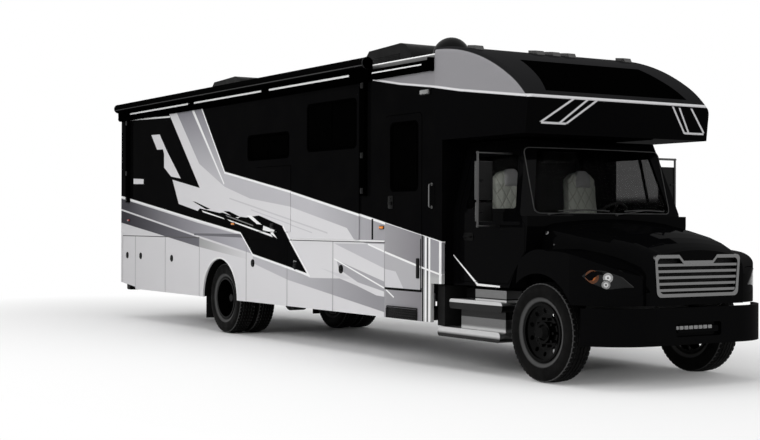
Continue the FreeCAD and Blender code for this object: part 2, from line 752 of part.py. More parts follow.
def rear_wall():
    """Rear wall between the side walls, with its window."""
    half = BODY_HALF_WIDTH - WALL - SEAT_GAP
    lower_half = BODY_HALF_WIDTH - SKIN - SEAT_GAP
    bottom = SKIRT_BOTTOM_Z + REAR_RISE
    upper = block(BODY_REAR_X, BODY_REAR_X + WALL, -half, half, DECK_Z, WALL_TOP_Z)
    lower = block(BODY_REAR_X, BODY_REAR_X + WALL, -lower_half, lower_half, bottom, DECK_Z)
    window = front_prism(rounded(-620, 620, 2350, 2950, 60), BODY_REAR_X - 10,
                         BODY_REAR_X + WALL + 10)
    return upper.fuse(lower).removeSplitter().cut(window)


def roof_section(drop, inset):
    """Crowned roof outline across the body, lowered and drawn in for its inner face."""
    half = BODY_HALF_WIDTH - inset
    shoulder = half - ROOF_SHOULDER_INSET
    crest = ROOF_CREST_Z - drop
    top = ROOF_SHOULDER_Z - drop
    k = ROOF_SHOULDER_INSET * 0.293
    m = (top - WALL_TOP_Z) * 0.293
    return [(half, WALL_TOP_Z), (shoulder, top, half - k, top - m), (-shoulder, top, 0, crest),
            (-half, WALL_TOP_Z, -half + k, top - m)]


def roof():
    outer = front_prism(roof_section(0, 0), BODY_REAR_X, CAP_SEAM_X)
    inner = front_prism(roof_section(ROOF_THICK, WALL), BODY_REAR_X + WALL, CAP_SEAM_X + 10)
    return outer.cut(inner)


CAP_FRONT_LOW = (-105.0, CAP_BOTTOM_Z)
CAP_FRONT_HIGH = (-60.0, 2940.0)
CAP_ARCH = [(-60.0, 2940.0), (-205.0, 3083.0), (-400.0, 3220.0), (-1010.0, 3495.0),
            (-1750.0, ROOF_CREST_Z - 6)]


def cap_form(inset, y0, y1):
    """Side outline of the cap swept across; inset draws the whole outline in."""
    place = on_side(y0)
    arch = []
    for i, (x, z) in enumerate(CAP_ARCH):
        lean = min(1.0, i / 2.5)
        arch.append(place(ax(x) - inset * (1 - lean * 0.6), z - inset * (0.45 + 0.55 * lean)))
    curves = [Part.Arc(*arch[:3]), Part.Arc(*arch[2:])]
    rear = CAP_SEAM_X if inset == 0 else CAP_SEAM_X - 10
    low = CAP_BOTTOM_Z + inset
    start = place(ax(CAP_FRONT_LOW[0]) - inset, low)
    edges = [curve.toShape() for curve in curves]
    edges += [
             Part.LineSegment(arch[-1], place(rear, arch[-1].z)).toShape() if inset else None,
             Part.LineSegment(place(rear, arch[-1].z), place(rear, low)).toShape(),
             Part.LineSegment(place(rear, low), start).toShape(),
             Part.LineSegment(start, arch[0]).toShape()]
    wire = Part.Wire([edge for edge in edges if edge])
    return Part.Face(wire).extrude(V(0, y1 - y0, 0))


def cap_window_cutter():
    """Tapered prism that looks forward and up through the cap's sloping face."""
    base = [(-1000, 3010), (1000, 3010), (860, 3400), (-860, 3400)]
    return front_prism(base, ax(-1200), ax(200))


def overhead_cap():
    """Hollow moulded cap over the cab with the front bulkhead below it."""
    half = BODY_HALF_WIDTH
    outer = cap_form(0, -half, half)
    round_edges = []
    for edge in outer.Edges:
        box = edge.BoundBox
        flat = box.YLength < 1
        if flat and box.ZMax > 3300 and box.XLength > 500:
            round_edges.append(edge)
    outer = outer.makeFillet(70, round_edges)
    inner = cap_form(WALL, -half + WALL, half - WALL)
    shell = outer.cut([inner, cap_window_cutter()])
    bulkhead = block(BODY_FRONT_X - WALL, BODY_FRONT_X, -half + WALL + SEAT_GAP,
                     half - WALL - SEAT_GAP, DECK_BOTTOM_Z - 380, CAP_BOTTOM_Z)
    pass_through = front_prism(rounded(-700, 700, DECK_Z, CAP_BOTTOM_Z - 80, 80),
                               BODY_FRONT_X - WALL - 10, BODY_FRONT_X + 10)
    return fuse_all([shell, bulkhead.cut(pass_through)])


def cap_window():
    """Tinted pane that follows the cap's slope, just inside its outer face."""
    skin = cap_form(4, -1290, 1290).cut(cap_form(4 + GLASS * 2, -1300, 1300))
    return skin.common(cap_window_cutter())


def pane(window, side, y_face=BODY_HALF_WIDTH):
    y0 = side * (y_face - 12)
    y1 = side * (y_face - 12 - GLASS)
    return window_hole(window, y0, y1, -SEAT_GAP)


def house_glass():
    panes = [pane(window, RIGHT) for window in WINDOWS_RIGHT]
    panes += [pane(window, LEFT) for window in WINDOWS_LEFT]
    panes.append(cap_window())
    panes.append(front_prism(rounded(-620 + SEAT_GAP, 620 - SEAT_GAP, 2350 + SEAT_GAP,
                                     2950 - SEAT_GAP, 60), BODY_REAR_X + 12,
                             BODY_REAR_X + 12 + GLASS))
    return Part.makeCompound(panes)


def entry_outline(inset, y0, y1):
    points = rounded(ax(ENTRY_REAR) + inset, ax(ENTRY_FRONT) - inset, ENTRY_BOTTOM_Z + inset,
                     ENTRY_TOP_Z - inset, ENTRY_CORNER)
    return side_prism(points, y0, y1)


def entry_door():
    """Entry door with its window hole and a lip that laps the door frame."""
    y0 = -BODY_HALF_WIDTH
    panel = entry_outline(DOOR_GAP, y0 - 4, y0 + WALL - SEAT_GAP)
    return panel.cut(window_hole(ENTRY_WINDOW, y0 - 20, y0 + WALL + 20))


def entry_glass():
    return pane(ENTRY_WINDOW, RIGHT)


def slide_out():
    """Slide-out room: flanged outer wall and an open box that runs into the body."""
    x0 = ax(SLIDE_SPAN[0])
    x1 = ax(SLIDE_SPAN[1])
    y_face = -BODY_HALF_WIDTH - SLIDE_PROUD
    y_skin = -BODY_HALF_WIDTH - SEAT_GAP
    y_back = -BODY_HALF_WIDTH + SLIDE_DEPTH
    f = SLIDE_FLANGE
    face = side_prism(rounded(x0 - f, x1 + f, SLIDE_BOTTOM_Z - f, SLIDE_TOP_Z + f, 20),
                      y_face, y_skin)
    g = SLIDE_GAP
    t = WALL
    box = block(x0 + g, x1 - g, y_skin, y_back, SLIDE_BOTTOM_Z + g, SLIDE_TOP_Z - g)
    room = block(x0 + g + t, x1 - g - t, y_skin + t, y_back + 50, SLIDE_BOTTOM_Z + g + t,
                 SLIDE_TOP_Z - g - t)
    hole = window_hole(SLIDE_WINDOW, y_face - 10, y_skin + t + 10)
    return fuse_all([face, box.cut(room)]).cut(hole)


def slide_glass():
    return pane(SLIDE_WINDOW, RIGHT, BODY_HALF_WIDTH + SLIDE_PROUD)


# Roof equipment and trim

def roof_top():
    """Space filled by the roof, with the seat gap added on top."""
    return front_prism(roof_section(-SEAT_GAP, 0), BODY_REAR_X, CAP_SEAM_X + 400)


def air_conditioner(x):
    """Low streamlined cover, sloped at its front and rear."""
    z = ROOF_SHOULDER_Z
    half = AIRCON_LENGTH / 2
    top = ROOF_CREST_Z + AIRCON_HEIGHT
    profile = [(x - half, z), (x + half, z), (x + half, top - AIRCON_HEIGHT * 0.65),
               (x + half * 0.45, top, x + half * 0.8, top - AIRCON_HEIGHT * 0.14),
               (x - half * 0.8, top - AIRCON_HEIGHT * 0.08), (x - half, top - AIRCON_HEIGHT * 0.4)]
    half_width = AIRCON_WIDTH / 2
    return side_prism(profile, -half_width, half_width)


def dome():
    """Antenna dome on a round foot."""
    x, y = DOME_PLACE
    foot_z = ROOF_CREST_Z + 30
    ball = Part.makeSphere(DOME_RADIUS, V(ax(x), y, foot_z))
    reach = DOME_RADIUS + 10
    keep = block(ax(x) - reach, ax(x) + reach, y - reach, y + reach, foot_z, foot_z + reach)
    foot = Part.makeCylinder(DOME_RADIUS, foot_z - ROOF_SHOULDER_Z, V(ax(x), y, ROOF_SHOULDER_Z))
    return ball.common(keep).fuse(foot).removeSplitter()


def roof_units():
    """Two air conditioners and a dome antenna, seated on the crowned roof."""
    roof_space = roof_top()
    units = [air_conditioner(ax(x)) for x in AIRCON_PLACES] + [dome()]
    return Part.makeCompound([unit.cut(roof_space) for unit in units])


def awning():
    """Rolled awning in its case along the right roof edge, with its two folded arms."""
    x0 = ax(AWNING_SPAN[0])
    x1 = ax(AWNING_SPAN[1])
    skin = -BODY_HALF_WIDTH - SEAT_GAP
    centre = -BODY_HALF_WIDTH - AWNING_OUT / 2
    r = AWNING_RADIUS
    roll = rod((x0, centre + 2, AWNING_Z), (x1, centre + 2, AWNING_Z), r)
    low = AWNING_BOTTOM_Z
    case = front_prism([(skin, low), (skin, AWNING_Z + 40), (centre, AWNING_Z + 40),
                        (centre, AWNING_Z - 40), (skin - 70, low + 60),
                        (skin - 45, low, skin - 66, low + 18)], x0, x1)
    parts = [roll, case]
    for place in AWNING_ARMS:
        x = ax(place)
        parts.append(block(x - 45, x + 45, skin, skin - 50, AWNING_ARM_LOW_Z, AWNING_Z))
    return fuse_all(parts)


def lamps():
    """Clearance lamps on the cap, tail lamps and side markers."""
    solids = []
    outer = BODY_HALF_WIDTH - 205.0
    for y in (-outer, -230.0, 0.0, 230.0, outer):
        lamp = side_prism([(ax(-1330), 3530), (ax(-1160), 3530), (ax(-1190), 3585),
                           (ax(-1330), 3600)], y - 55, y + 55)
        solids.append(lamp.cut(cap_form(-SEAT_GAP, -1400, 1400)))
    x = BODY_REAR_X - SEAT_GAP
    for side in (RIGHT, LEFT):
        y = side * (BODY_HALF_WIDTH - 155.0)
        solids.append(front_prism(rounded(y - 70, y + 70, 1500, 2050, 30), x, x - 26))
    return Part.makeCompound(solids)


def rear_bumper():
    """Rear bumper bar with a towing receiver carried from the frame."""
    x0 = BODY_REAR_X - BUMPER_REACH
    bar = front_prism(rounded(-1150, 1150, 470, 590, 25), x0, BODY_REAR_X + 60)
    parts = [bar]
    rail_low = RAIL_TOP_Z - RAIL_HEIGHT
    for y in (-RAIL_HALF + 45, RAIL_HALF - 45):
        parts.append(block(BODY_REAR_X + 50, BODY_REAR_X + 300, y - 30, y + 30,
                           RECEIVER_Z + RECEIVER_OUTER / 2, rail_low - SEAT_GAP))
    tube = block(x0, BODY_REAR_X + 300, -RECEIVER_OUTER / 2, RECEIVER_OUTER / 2,
                 RECEIVER_Z - RECEIVER_OUTER / 2, RECEIVER_Z + RECEIVER_OUTER / 2)
    beam = block(BODY_REAR_X + 200, BODY_REAR_X + 280, -RAIL_HALF + 20, RAIL_HALF - 20,
                 RECEIVER_Z - 40, RECEIVER_Z + 40)
    parts += [tube, beam]
    hole = block(x0 - 10, BODY_REAR_X + 190, -RECEIVER_BORE / 2, RECEIVER_BORE / 2,
                 RECEIVER_Z - RECEIVER_BORE / 2, RECEIVER_Z + RECEIVER_BORE / 2)
    pin_x = BODY_REAR_X + 90
    pin = rod((pin_x, -60, RECEIVER_Z), (pin_x, 60, RECEIVER_Z), RECEIVER_PIN_RADIUS)
    return fuse_all(parts).cut([hole, pin])


RECEIVER_OUTER = 64.0
RECEIVER_BORE = 51.0
RECEIVER_Z = 530.0
RECEIVER_PIN_RADIUS = 8.2


def mudflaps():
    """Rubber flaps hung behind the twin wheels."""
    flaps = []
    for side in (RIGHT, LEFT):
        x = REAR_AXLE_X - ARCH_RADIUS - LINER_WALL - SEAT_GAP
        flaps.append(block(x - 10, x, side * 620, side * 1220, 190, TYRE_RADIUS + 120))
    return Part.makeCompound(flaps)


# Cab

def cab_profile(inset):
    """Cab outline seen from the side, drawn in by inset; its front foot clears the wheel."""
    i = inset
    return [(ax(-1595) + i, CAB_BOTTOM_Z + i), (ax(-575) - i, CAB_BOTTOM_Z + i),
            (ax(CAB_CORNER[0]) - i, CAB_CORNER[1], ax(-470) - i, 1130 + i * 0.6),
            (ax(CAB_NOSE_X) - i, 1600),
            (ax(CAB_NOSE_X) - i, 1710 - i * 0.2), (ax(CAB_NOSE_X - 215) - i, CAB_ROOF_Z - 75 - i * 0.8),
            (ax(-640) - i, CAB_ROOF_Z - i, ax(-535) - i, CAB_ROOF_Z - 22 - i),
            (ax(-1595) + i, CAB_ROOF_Z - i)]


def cab_form(inset):
    """Solid cab form with sides that lean in above the belt and a bowed raked front."""
    half = CAB_HALF_WIDTH - inset
    body = side_prism(cab_profile(inset), -half, half)
    lean = [(half, 0), (half, CAB_BELT_Z), (CAB_ROOF_HALF - inset, CAB_ROOF_Z + 60),
            (-CAB_ROOF_HALF + inset, CAB_ROOF_Z + 60), (-half, CAB_BELT_Z), (-half, 0)]
    body = body.common(front_prism(lean, ax(-1700), ax(200)))
    belt = 1710.0
    rise = CAB_ROOF_Z - 75 - belt
    front = ax(CAB_NOSE_X) - inset
    side = front - CAB_BOW
    bow = [(ax(-2400), -1140), (side, -1140), (side, 1140, front, 0), (ax(-2400), 1140)]
    face = Part.Face(outline(bow, on_top(belt)))
    upper = face.extrude(V(-215 * 1.2, 0, rise * 1.2))
    lower = block(ax(-2400), ax(0), -1200, 1200, 500, belt)
    return body.common(upper.fuse(lower))


def cab_shell_solid():
    """Cab skin with the floor left in, open at the back towards the body."""
    inner = cab_form(CAB_WALL)
    back = side_prism([(ax(-1700), CAB_FLOOR_Z), (ax(-1500), CAB_FLOOR_Z),
                       (ax(-1500), CAB_ROOF_Z - CAB_WALL), (ax(-1700), CAB_ROOF_Z - CAB_WALL)],
                      -720, 720)
    floor = block(ax(-1700), ax(0), -1300, 1300, 0, CAB_FLOOR_Z)
    return cab_form(0).cut([inner.cut(floor), back])


def cab_door_outline(inset, y0, y1, lean=0.0):
    """Outline of a cab door; lean brings the top of its rear edge forward."""
    x0 = ax(CAB_DOOR[0]) + inset
    x1 = ax(CAB_DOOR[1]) - inset
    z0 = CAB_DOOR_BOTTOM_Z + inset
    z1 = CAB_DOOR_TOP_Z - inset
    points = [(x1 - 285, z0), (x1, 1345, x1 - 180, 1120), (x1, 1620), (x1 - 135, 1740),
              (x1 - 300, z1 - 70), (x1 - 370, z1, x1 - 320, z1 - 18), (x0 + 60 + lean, z1),
              (x0 + lean, z1 - 60, x0 + 18 + lean, z1 - 18), (x0, CAB_BELT_Z), (x0, z0 + 60),
              (x0 + 60, z0, x0 + 18, z0 + 18)]
    return side_prism(points, y0, y1)


def cab_window_outline(inset, y0, y1):
    x0 = ax(CAB_DOOR[0]) + 110 + inset
    x1 = ax(CAB_DOOR[1]) - 185 - inset
    points = [(x1 - 30, 1790 + inset), (x1, 1830 + inset, x1 - 6, 1800 + inset),
              (x1 - 130, 2310 - inset), (x1 - 190, 2365 - inset, x1 - 148, 2352 - inset),
              (x0 + 50, 2365 - inset), (x0, 2315 - inset, x0 + 15, 2350 - inset),
              (x0, 1840 + inset), (x0 + 50, 1790 + inset, x0 + 15, 1805 + inset)]
    return side_prism(points, y0, y1)


def windshield_outline(inset):
    """Windshield opening seen from ahead, wider at its foot."""
    i = inset
    return [(-930 + i, 1740 + i, -953 + i, 1755 + i), (930 - i, 1740 + i),
            (960 - i, 1790 + i, 953 - i, 1755 + i), (810 - i, 2380 - i),
            (740 - i, 2440 - i, 792 - i, 2425 - i), (-740 + i, 2440 - i),
            (-810 + i, 2380 - i, -792 + i, 2425 - i), (-960 + i, 1790 + i)]


def windshield_cutter(inset):
    points = windshield_outline(inset)
    return front_prism(points, ax(-760), ax(0))


def side_zone(side, depth):
    """Slab along one leaning cab side, from outside its skin to depth inside it."""
    s = side
    reach = 30
    top = CAB_ROOF_Z + 60
    points = [(s * (CAB_HALF_WIDTH + reach), 0), (s * (CAB_HALF_WIDTH + reach), CAB_BELT_Z),
              (s * (CAB_ROOF_HALF + reach), top), (s * (CAB_ROOF_HALF - depth), top),
              (s * (CAB_HALF_WIDTH - depth), CAB_BELT_Z), (s * (CAB_HALF_WIDTH - depth), 0)]
    return front_prism(points, ax(-1700), ax(200))


def cab_shell():
    """Cab skin with its door and windshield openings and the door seats inside."""
    shell = cab_shell_solid()
    cuts = [windshield_cutter(0)]
    band = cab_form(CAB_WALL).cut(cab_form(CAB_WALL + JAMB_DEPTH))
    seats_inside = []
    for side in (RIGHT, LEFT):
        y0, y1 = sorted((side * 700, side * 1300))
        opening = cab_door_outline(0, y0, y1).common(side_zone(side, CAB_WALL + JAMB_DEPTH + 5))
        cuts.append(opening)
        seat_ring = band.common(cab_door_outline(-JAMB_LAP, y0, y1))
        seat_ring = seat_ring.common(side_zone(side, CAB_WALL + JAMB_DEPTH + 20))
        seats_inside.append(seat_ring.cut(cab_door_outline(JAMB_LAP, y0, y1)))
    return fuse_all([shell.cut(cuts)] + seats_inside)


def cab_skin():
    """Cab walls alone, which give the doors their form and thickness."""
    return cab_form(0).cut(cab_form(CAB_WALL - SEAT_GAP))


def cab_door(side, skin):
    y0, y1 = sorted((side * 700, side * 1300))
    door = skin.common(cab_door_outline(DOOR_GAP, y0, y1, CAB_DOOR_LEAN))
    door = door.common(side_zone(side, CAB_WALL - SEAT_GAP))
    return door.cut(cab_window_outline(0, y0, y1))


def cab_door_glass(side):
    y0, y1 = sorted((side * 700, side * 1300))
    film = cab_form(16).cut(cab_form(16 + GLASS))
    return film.common(cab_window_outline(SEAT_GAP, y0, y1))


def cab_glass():
    film = cab_form(10).cut(cab_form(10 + GLASS))
    return film.common(windshield_cutter(SEAT_GAP))


def mirror(side):
    """Tubular loop on the cab door that carries the mirror heads."""
    x = ax(-740)
    y_door = side * (CAB_HALF_WIDTH + SEAT_GAP)
    y_out = side * (CAB_HALF_WIDTH + MIRROR_REACH)
    low = 1600.0
    high = 2380.0
    r = MIRROR_TUBE
    lean = (CAB_HALF_WIDTH - CAB_ROOF_HALF) / (CAB_ROOF_Z + 60 - CAB_BELT_Z)
    y_top = side * (CAB_HALF_WIDTH - (high - r - CAB_BELT_Z) * lean + SEAT_GAP)
    tubes = [rod((x, y_out, low - r), (x, y_out, high + r), r),
             rod((x, y_out + side * r, high), (x, y_top, high), r),
             rod((x, y_out + side * r, low), (x, y_door, low), r)]
    y_in = y_out - side * 210
    head = top_prism(rounded(x - 72, x - 2, min(y_out, y_in), max(y_out, y_in), 24), 1880, 2290)
    spot = top_prism(rounded(x - 62, x - 2, min(y_out, y_in), max(y_out, y_in), 24), 1650, 1850)
    clamps = [rod((x - 6, y_out - side * 70, z), (x - 6, y_out, z), r) for z in (1750.0, 2085.0)]
    return fuse_all(tubes + clamps + [head, spot])


# Hood, grille and lights

def hood_half(x):
    """Half width of the hood, which narrows faster towards the nose."""
    run = (x - HOOD_REAR_X) / (HOOD_FRONT_X - HOOD_REAR_X)
    return HOOD_REAR_HALF - (HOOD_REAR_HALF - HOOD_FRONT_HALF) * (0.48 * run + 0.52 * run ** 2)


def hood_top(x):
    """Height of the hood's centre line, which falls away above the grille."""
    run = (x - HOOD_REAR_X) / (HOOD_FRONT_X - HOOD_REAR_X)
    fall = HOOD_REAR_Z - HOOD_FRONT_Z
    return HOOD_REAR_Z - fall * (0.68 * run + 0.32 * run ** 6)


def hood_section(x, inset):
    """Section across the nose: flat sides, round shoulders and a crowned top."""
    h = hood_half(x) - inset
    t = hood_top(x) - inset
    s = HOOD_SHOULDER
    crown = HOOD_CROWN
    low = HOOD_BOTTOM_Z - (5 if inset else 0)
    place = on_front(ax(x))
    k = s * 0.29
    points = [(h, low), (h, t - crown - s), (h - s, t - crown, h - k, t - crown - k),
              (-h + s, t - crown, 0, t), (-h, t - crown - s, -h + k, t - crown - k), (-h, low)]
    return outline(points, place)


def nose_form(inset):
    """Nose as strips between sections, closer together where the top falls away."""
    rear = HOOD_REAR_X - (5 if inset else 0)
    front = HOOD_FRONT_X - inset
    shares = [0.4, 0.65, 0.8, 0.9, 0.96]
    places = [rear] + [rear + (front - rear) * share for share in shares] + [front]
    return Part.makeLoft([hood_section(x, inset) for x in places], True, True)


def fender_form(inset):
    """Both fenders: side outline swept across, trimmed to the rounded plan."""
    i = inset
    x_rear = ax(HOOD_REAR_X - 100) - (5 if inset else 0)
    low = HOOD_BOTTOM_Z - (5 if inset else 0)
    side_view = [(x_rear, low), (ax(1000) - i, low), (ax(1000) - i, 1120 - i),
                 (ax(160), 1350 - i, ax(650), 1290 - i), (x_rear, 1080 - i, ax(-270), 1270 - i)]
    plan = [(x_rear, -FENDER_HALF + i), (ax(500), -FENDER_HALF + i),
            (ax(1010) - i, -600, ax(860) - i * 0.7, -990 + i * 0.7), (ax(1010) - i, 600),
            (ax(500), FENDER_HALF - i, ax(860) - i * 0.7, 990 - i * 0.7), (x_rear, FENDER_HALF - i)]
    return side_prism(side_view, -1400, 1400).common(top_prism(plan, 500, 1700))


def grille_opening(margin):
    """Grille outline seen from ahead, dipped under the top middle."""
    m = margin
    return [(-500 + m, 905 + m, -542 + m, 922 + m), (500 - m, 905 + m),
            (560 - m, 965 + m, 542 - m, 922 + m), (585 - m, 1280 - m),
            (530 - m, 1325 - m, 572 - m, 1313 - m), (260, 1325 - m), (200, 1265 - m),
            (-200, 1265 - m), (-260, 1325 - m), (-530 + m, 1325 - m),
            (-585 + m, 1280 - m, -572 + m, 1313 - m), (-560 + m, 965 + m)]


def headlight_cutter(side, inset):
    """Pointed oval headlight outline seen from ahead."""
    i = inset
    s = side
    points = [(s * (640 + i), 960 + i), (s * (1130 - i), 1060, s * (950), 930 + i),
              (s * (640 + i), 960 + i, s * (930), 1190 - i)]
    return front_prism([points[1], points[2]], ax(300), ax(1100))


def swing_cut():
    """What lies below the cab's foremost low corner and outside the hood's swing past it."""
    px, pz = HOOD_PIVOT
    corner_x, corner_z = CAB_CORNER
    radius = math.hypot(px - corner_x, corner_z - pz) - HOOD_GAP
    swing = rod((ax(px), -1400, pz), (ax(px), 1400, pz), radius)
    return block(ax(px) - 2500, ax(0), -1400, 1400, 0, corner_z).cut(swing)


def hood():
    """Tilting nose: shell over the engine with both fenders and the hinge lugs."""
    shell = nose_form(0).fuse(fender_form(0)).removeSplitter()
    shell = shell.cut(nose_form(HOOD_WALL).fuse(fender_form(HOOD_WALL)))
    arch = rod((AXLE_X, -1400, TYRE_RADIUS), (AXLE_X, 1400, TYRE_RADIUS), FENDER_ARCH)
    cab_space = side_prism(cab_profile(-HOOD_GAP), -1400, 1400)
    cutters = [arch, cab_space, front_prism(grille_opening(0), ax(900), ax(1200)),
               headlight_cutter(RIGHT, 0), headlight_cutter(LEFT, 0)]
    for cutter in cutters:
        shell = shell.cut(cutter)
    shell = shell.cut(swing_cut())
    px, pz = HOOD_PIVOT
    wall_x = FRONT_OVERHANG - 22
    lug = side_prism([(ax(px - 15), pz - 22), (ax(wall_x), HOOD_BOTTOM_Z + 8),
                      (ax(wall_x), HOOD_BOTTOM_Z + 74), (ax(px + 5), pz + 26)],
                     LUG_INNER, LUG_INNER + LUG_WALL)
    eye = rod((ax(px), LUG_INNER - 5, pz), (ax(px), LUG_INNER + LUG_WALL + 5, pz),
              HOOD_PIN_RADIUS + 14)
    bore = rod((ax(px), LUG_INNER - 30, pz), (ax(px), LUG_INNER + LUG_WALL + 30, pz),
               HOOD_PIN_RADIUS + RUN_GAP)
    lug = lug.fuse(eye).cut(bore)
    return fuse_all([shell] + on_both_sides(lug))


def grille():
    """Bright surround with level bars across the nose opening."""
    m = SEAT_GAP
    x0 = ax(FRONT_OVERHANG - 60)
    x1 = ax(FRONT_OVERHANG - 12)
    ring = front_prism(grille_opening(m), x0, x1)
    ring = ring.cut(front_prism(grille_opening(34), x0 - 10, x1 + 10))
    parts = [ring]
    for i in range(5):
        z = 975 + i * 62
        bar = front_prism([(-570, z - 13), (570, z - 13), (570, z + 13), (-570, z + 13)],
                          x0 + 8, x1 - 6)
        parts.append(bar.common(front_prism(grille_opening(m), x0, x1)))
    return fuse_all(parts)


def headlights():
    """Clear lamp bodies that fill their openings in the fenders."""
    lamp_form = fender_form(4).cut(fender_form(60))
    solids = []
    for side in (RIGHT, LEFT):
        lamp = lamp_form.common(headlight_cutter(side, SEAT_GAP))
        solids += [solid for solid in lamp.Solids if solid.Volume > 50000]
    return Part.makeCompound(solids)


def bumper():
    """Pressed bumper: bent plate with wrapped ends and a recess for the light bar."""
    def plan(inset):
        """Flat front with ends that wrap back along arcs tangent to it."""
        front = NOSE_X - inset
        end_x = ax(BUMPER_END_X)
        end_y = BUMPER_END_HALF - inset
        depth = front - end_x
        run = end_y - BUMPER_FLAT_HALF
        radius = (depth ** 2 + run ** 2) / (2 * depth)
        half_angle = math.atan2(run, radius - depth) / 2
        mid_x = front - radius * (1 - math.cos(half_angle))
        mid_y = BUMPER_FLAT_HALF + radius * math.sin(half_angle)
        return [(front, -BUMPER_FLAT_HALF), (front, BUMPER_FLAT_HALF),
                (end_x, end_y, mid_x, mid_y), (end_x, -end_y),
                (front, -BUMPER_FLAT_HALF, mid_x, -mid_y)]
    outer = top_prism(plan(0), BUMPER_BOTTOM_Z, BUMPER_TOP_Z)
    inner = top_prism(plan(BUMPER_WALL + 22), BUMPER_BOTTOM_Z - 5, BUMPER_TOP_Z + 5)
    plate = outer.cut(inner)
    slot = front_prism(rounded(-310, 310, 510, 650, 30), ax(900), ax(1200))
    plate = plate.cut(slot)
    tray = front_prism(rounded(-322, 322, 498, 662, 40), ax(1010), ax(1055))
    tray = tray.cut(front_prism(rounded(-310, 310, 510, 650, 30), ax(1020), ax(1200)))
    bar = front_prism(rounded(-280, 280, 550, 612, 20), ax(1018), ax(1058))
    parts = [plate, tray, bar]
    for side in (RIGHT, LEFT):
        y = side * (RAIL_HALF - 30)
        parts.append(block(RAIL_FRONT_X + SEAT_GAP, NOSE_X - 20, y - 30, y + 30, 700, 780))
    return fuse_all(parts)


# Cab interior

def seat(y):
    """Cushion, back and headrest on a pedestal."""
    x = ax(-1150)
    z = CAB_FLOOR_Z + SEAT_GAP
    base = block(x - 200, x + 200, y - 180, y + 180, z, z + 280)
    cushion = side_prism([(x - 260, z + 250), (x + 280, z + 270), (x + 290, z + 400),
                          (x - 260, z + 370)], y - 260, y + 260)
    back = side_prism([(x - 260, z + 330), (x - 130, z + 350), (x - 210, z + 1010),
                       (x - 320, z + 1000)], y - 250, y + 250)
    head = side_prism([(x - 318, z + 985), (x - 215, z + 990), (x - 225, z + 1190),
                       (x - 315, z + 1185)], y - 150, y + 150)
    return fuse_all([base, cushion, back, head])


def seats():
    return Part.makeCompound([seat(-520), seat(520)])


def steering_rim(centre, axis):
    """Rim of the steering wheel, six-sided in section."""
    corners = [math.radians(60 * k) for k in range(6)]
    section = [V(215 + 14 * math.cos(a), 0, 14 * math.sin(a)) for a in corners]
    wire = Part.makePolygon(section + section[:1])
    ring = Part.Face(wire).revolve(V(0, 0, 0), V(0, 0, 1), 360)
    ring.Placement = FreeCAD.Placement(centre, FreeCAD.Rotation(V(0, 0, 1), axis))
    return ring


def dashboard():
    """Dash panel across the cab with the steering column and wheel."""
    panel = side_prism([(ax(-580), CAB_FLOOR_Z + 320), (ax(-520), 1500), (ax(-440), 1640),
                        (ax(-480), 1680), (ax(-700), 1700), (ax(-760), 1600),
                        (ax(-720), CAB_FLOOR_Z + 320)], -1000, 1000)
    leg = block(ax(-690), ax(-610), -900, 900, CAB_FLOOR_Z + SEAT_GAP, CAB_FLOOR_Z + 330)
    y = 520.0
    centre = V(ax(-850), y, 1700)
    axis = V(-0.75, 0, 0.66)
    ring = steering_rim(centre, axis)
    column = rod((ax(-700), y, 1600), (ax(-845), y, 1697), 30)
    parts = [panel, leg, ring, column]
    for angle in (0, 120, 240):
        c = math.cos(math.radians(angle))
        s = math.sin(math.radians(angle))
        up = V(0.66, 0, 0.75)
        across = V(0, 1, 0)
        tip = centre.add(V(up.x * c * 212, across.y * s * 212, up.z * c * 212))
        parts.append(rod((centre.x, centre.y, centre.z), (tip.x, tip.y, tip.z), 11))
    return fuse_all(parts)


# Steps and boxes below the cab

def cab_steps_right():
    y_in = -900.0
    lower = side_prism(rounded(ax(-1790), ax(-625), 360, 470, 40), -1210, y_in)
    upper = side_prism(rounded(ax(-1600), ax(-625), 680, 790, 40), -1180, y_in)
    plate = side_prism([(ax(-1450), 465), (ax(-640), 465), (ax(-640), 685), (ax(-1450), 685)],
                       -1120, y_in)
    kick = side_prism([(ax(-1200), 785), (ax(-640), 785), (ax(-640), 910), (ax(-1200), 910)],
                      -1110, y_in)
    return fuse_all([lower, upper, plate, kick])


def cab_steps():
    return Part.makeCompound(on_both_sides(cab_steps_right()))


def step_boxes():
    """Battery and tank boxes behind the cab steps, and the folded entry step."""
    y_out = -900.0 + SEAT_GAP
    tank = block(ax(-1800), ax(-640), y_out, -480, 400, 900)
    bracket = block(ax(-1500), ax(-1400), -480.1, -RAIL_HALF - SEAT_GAP, 720, 880)
    box = fuse_all([tank, bracket])
    side_box = block(ax(-1800), ax(-1660), -1200, y_out, 475, 930)
    solids = on_both_sides(box.fuse(side_box).removeSplitter())
    step = block(ax(-2755), ax(-2110), -BODY_HALF_WIDTH + SKIN + 2, -700, 505, 640)
    tread = block(ax(-2755), ax(-2110), -BODY_HALF_WIDTH - 10, -BODY_HALF_WIDTH + SKIN + 2, 512, 620)
    post = block(ax(-2460), ax(-2400), -760, -700, 640, ENTRY_BOTTOM_Z - 20 - SEAT_GAP)
    solids.append(fuse_all([step, tread, post]))
    return Part.makeCompound(solids)


def step_recess():
    return block(ax(-2765), ax(-2100), -BODY_HALF_WIDTH - 20, -BODY_HALF_WIDTH + SKIN + 1, 480, 632)


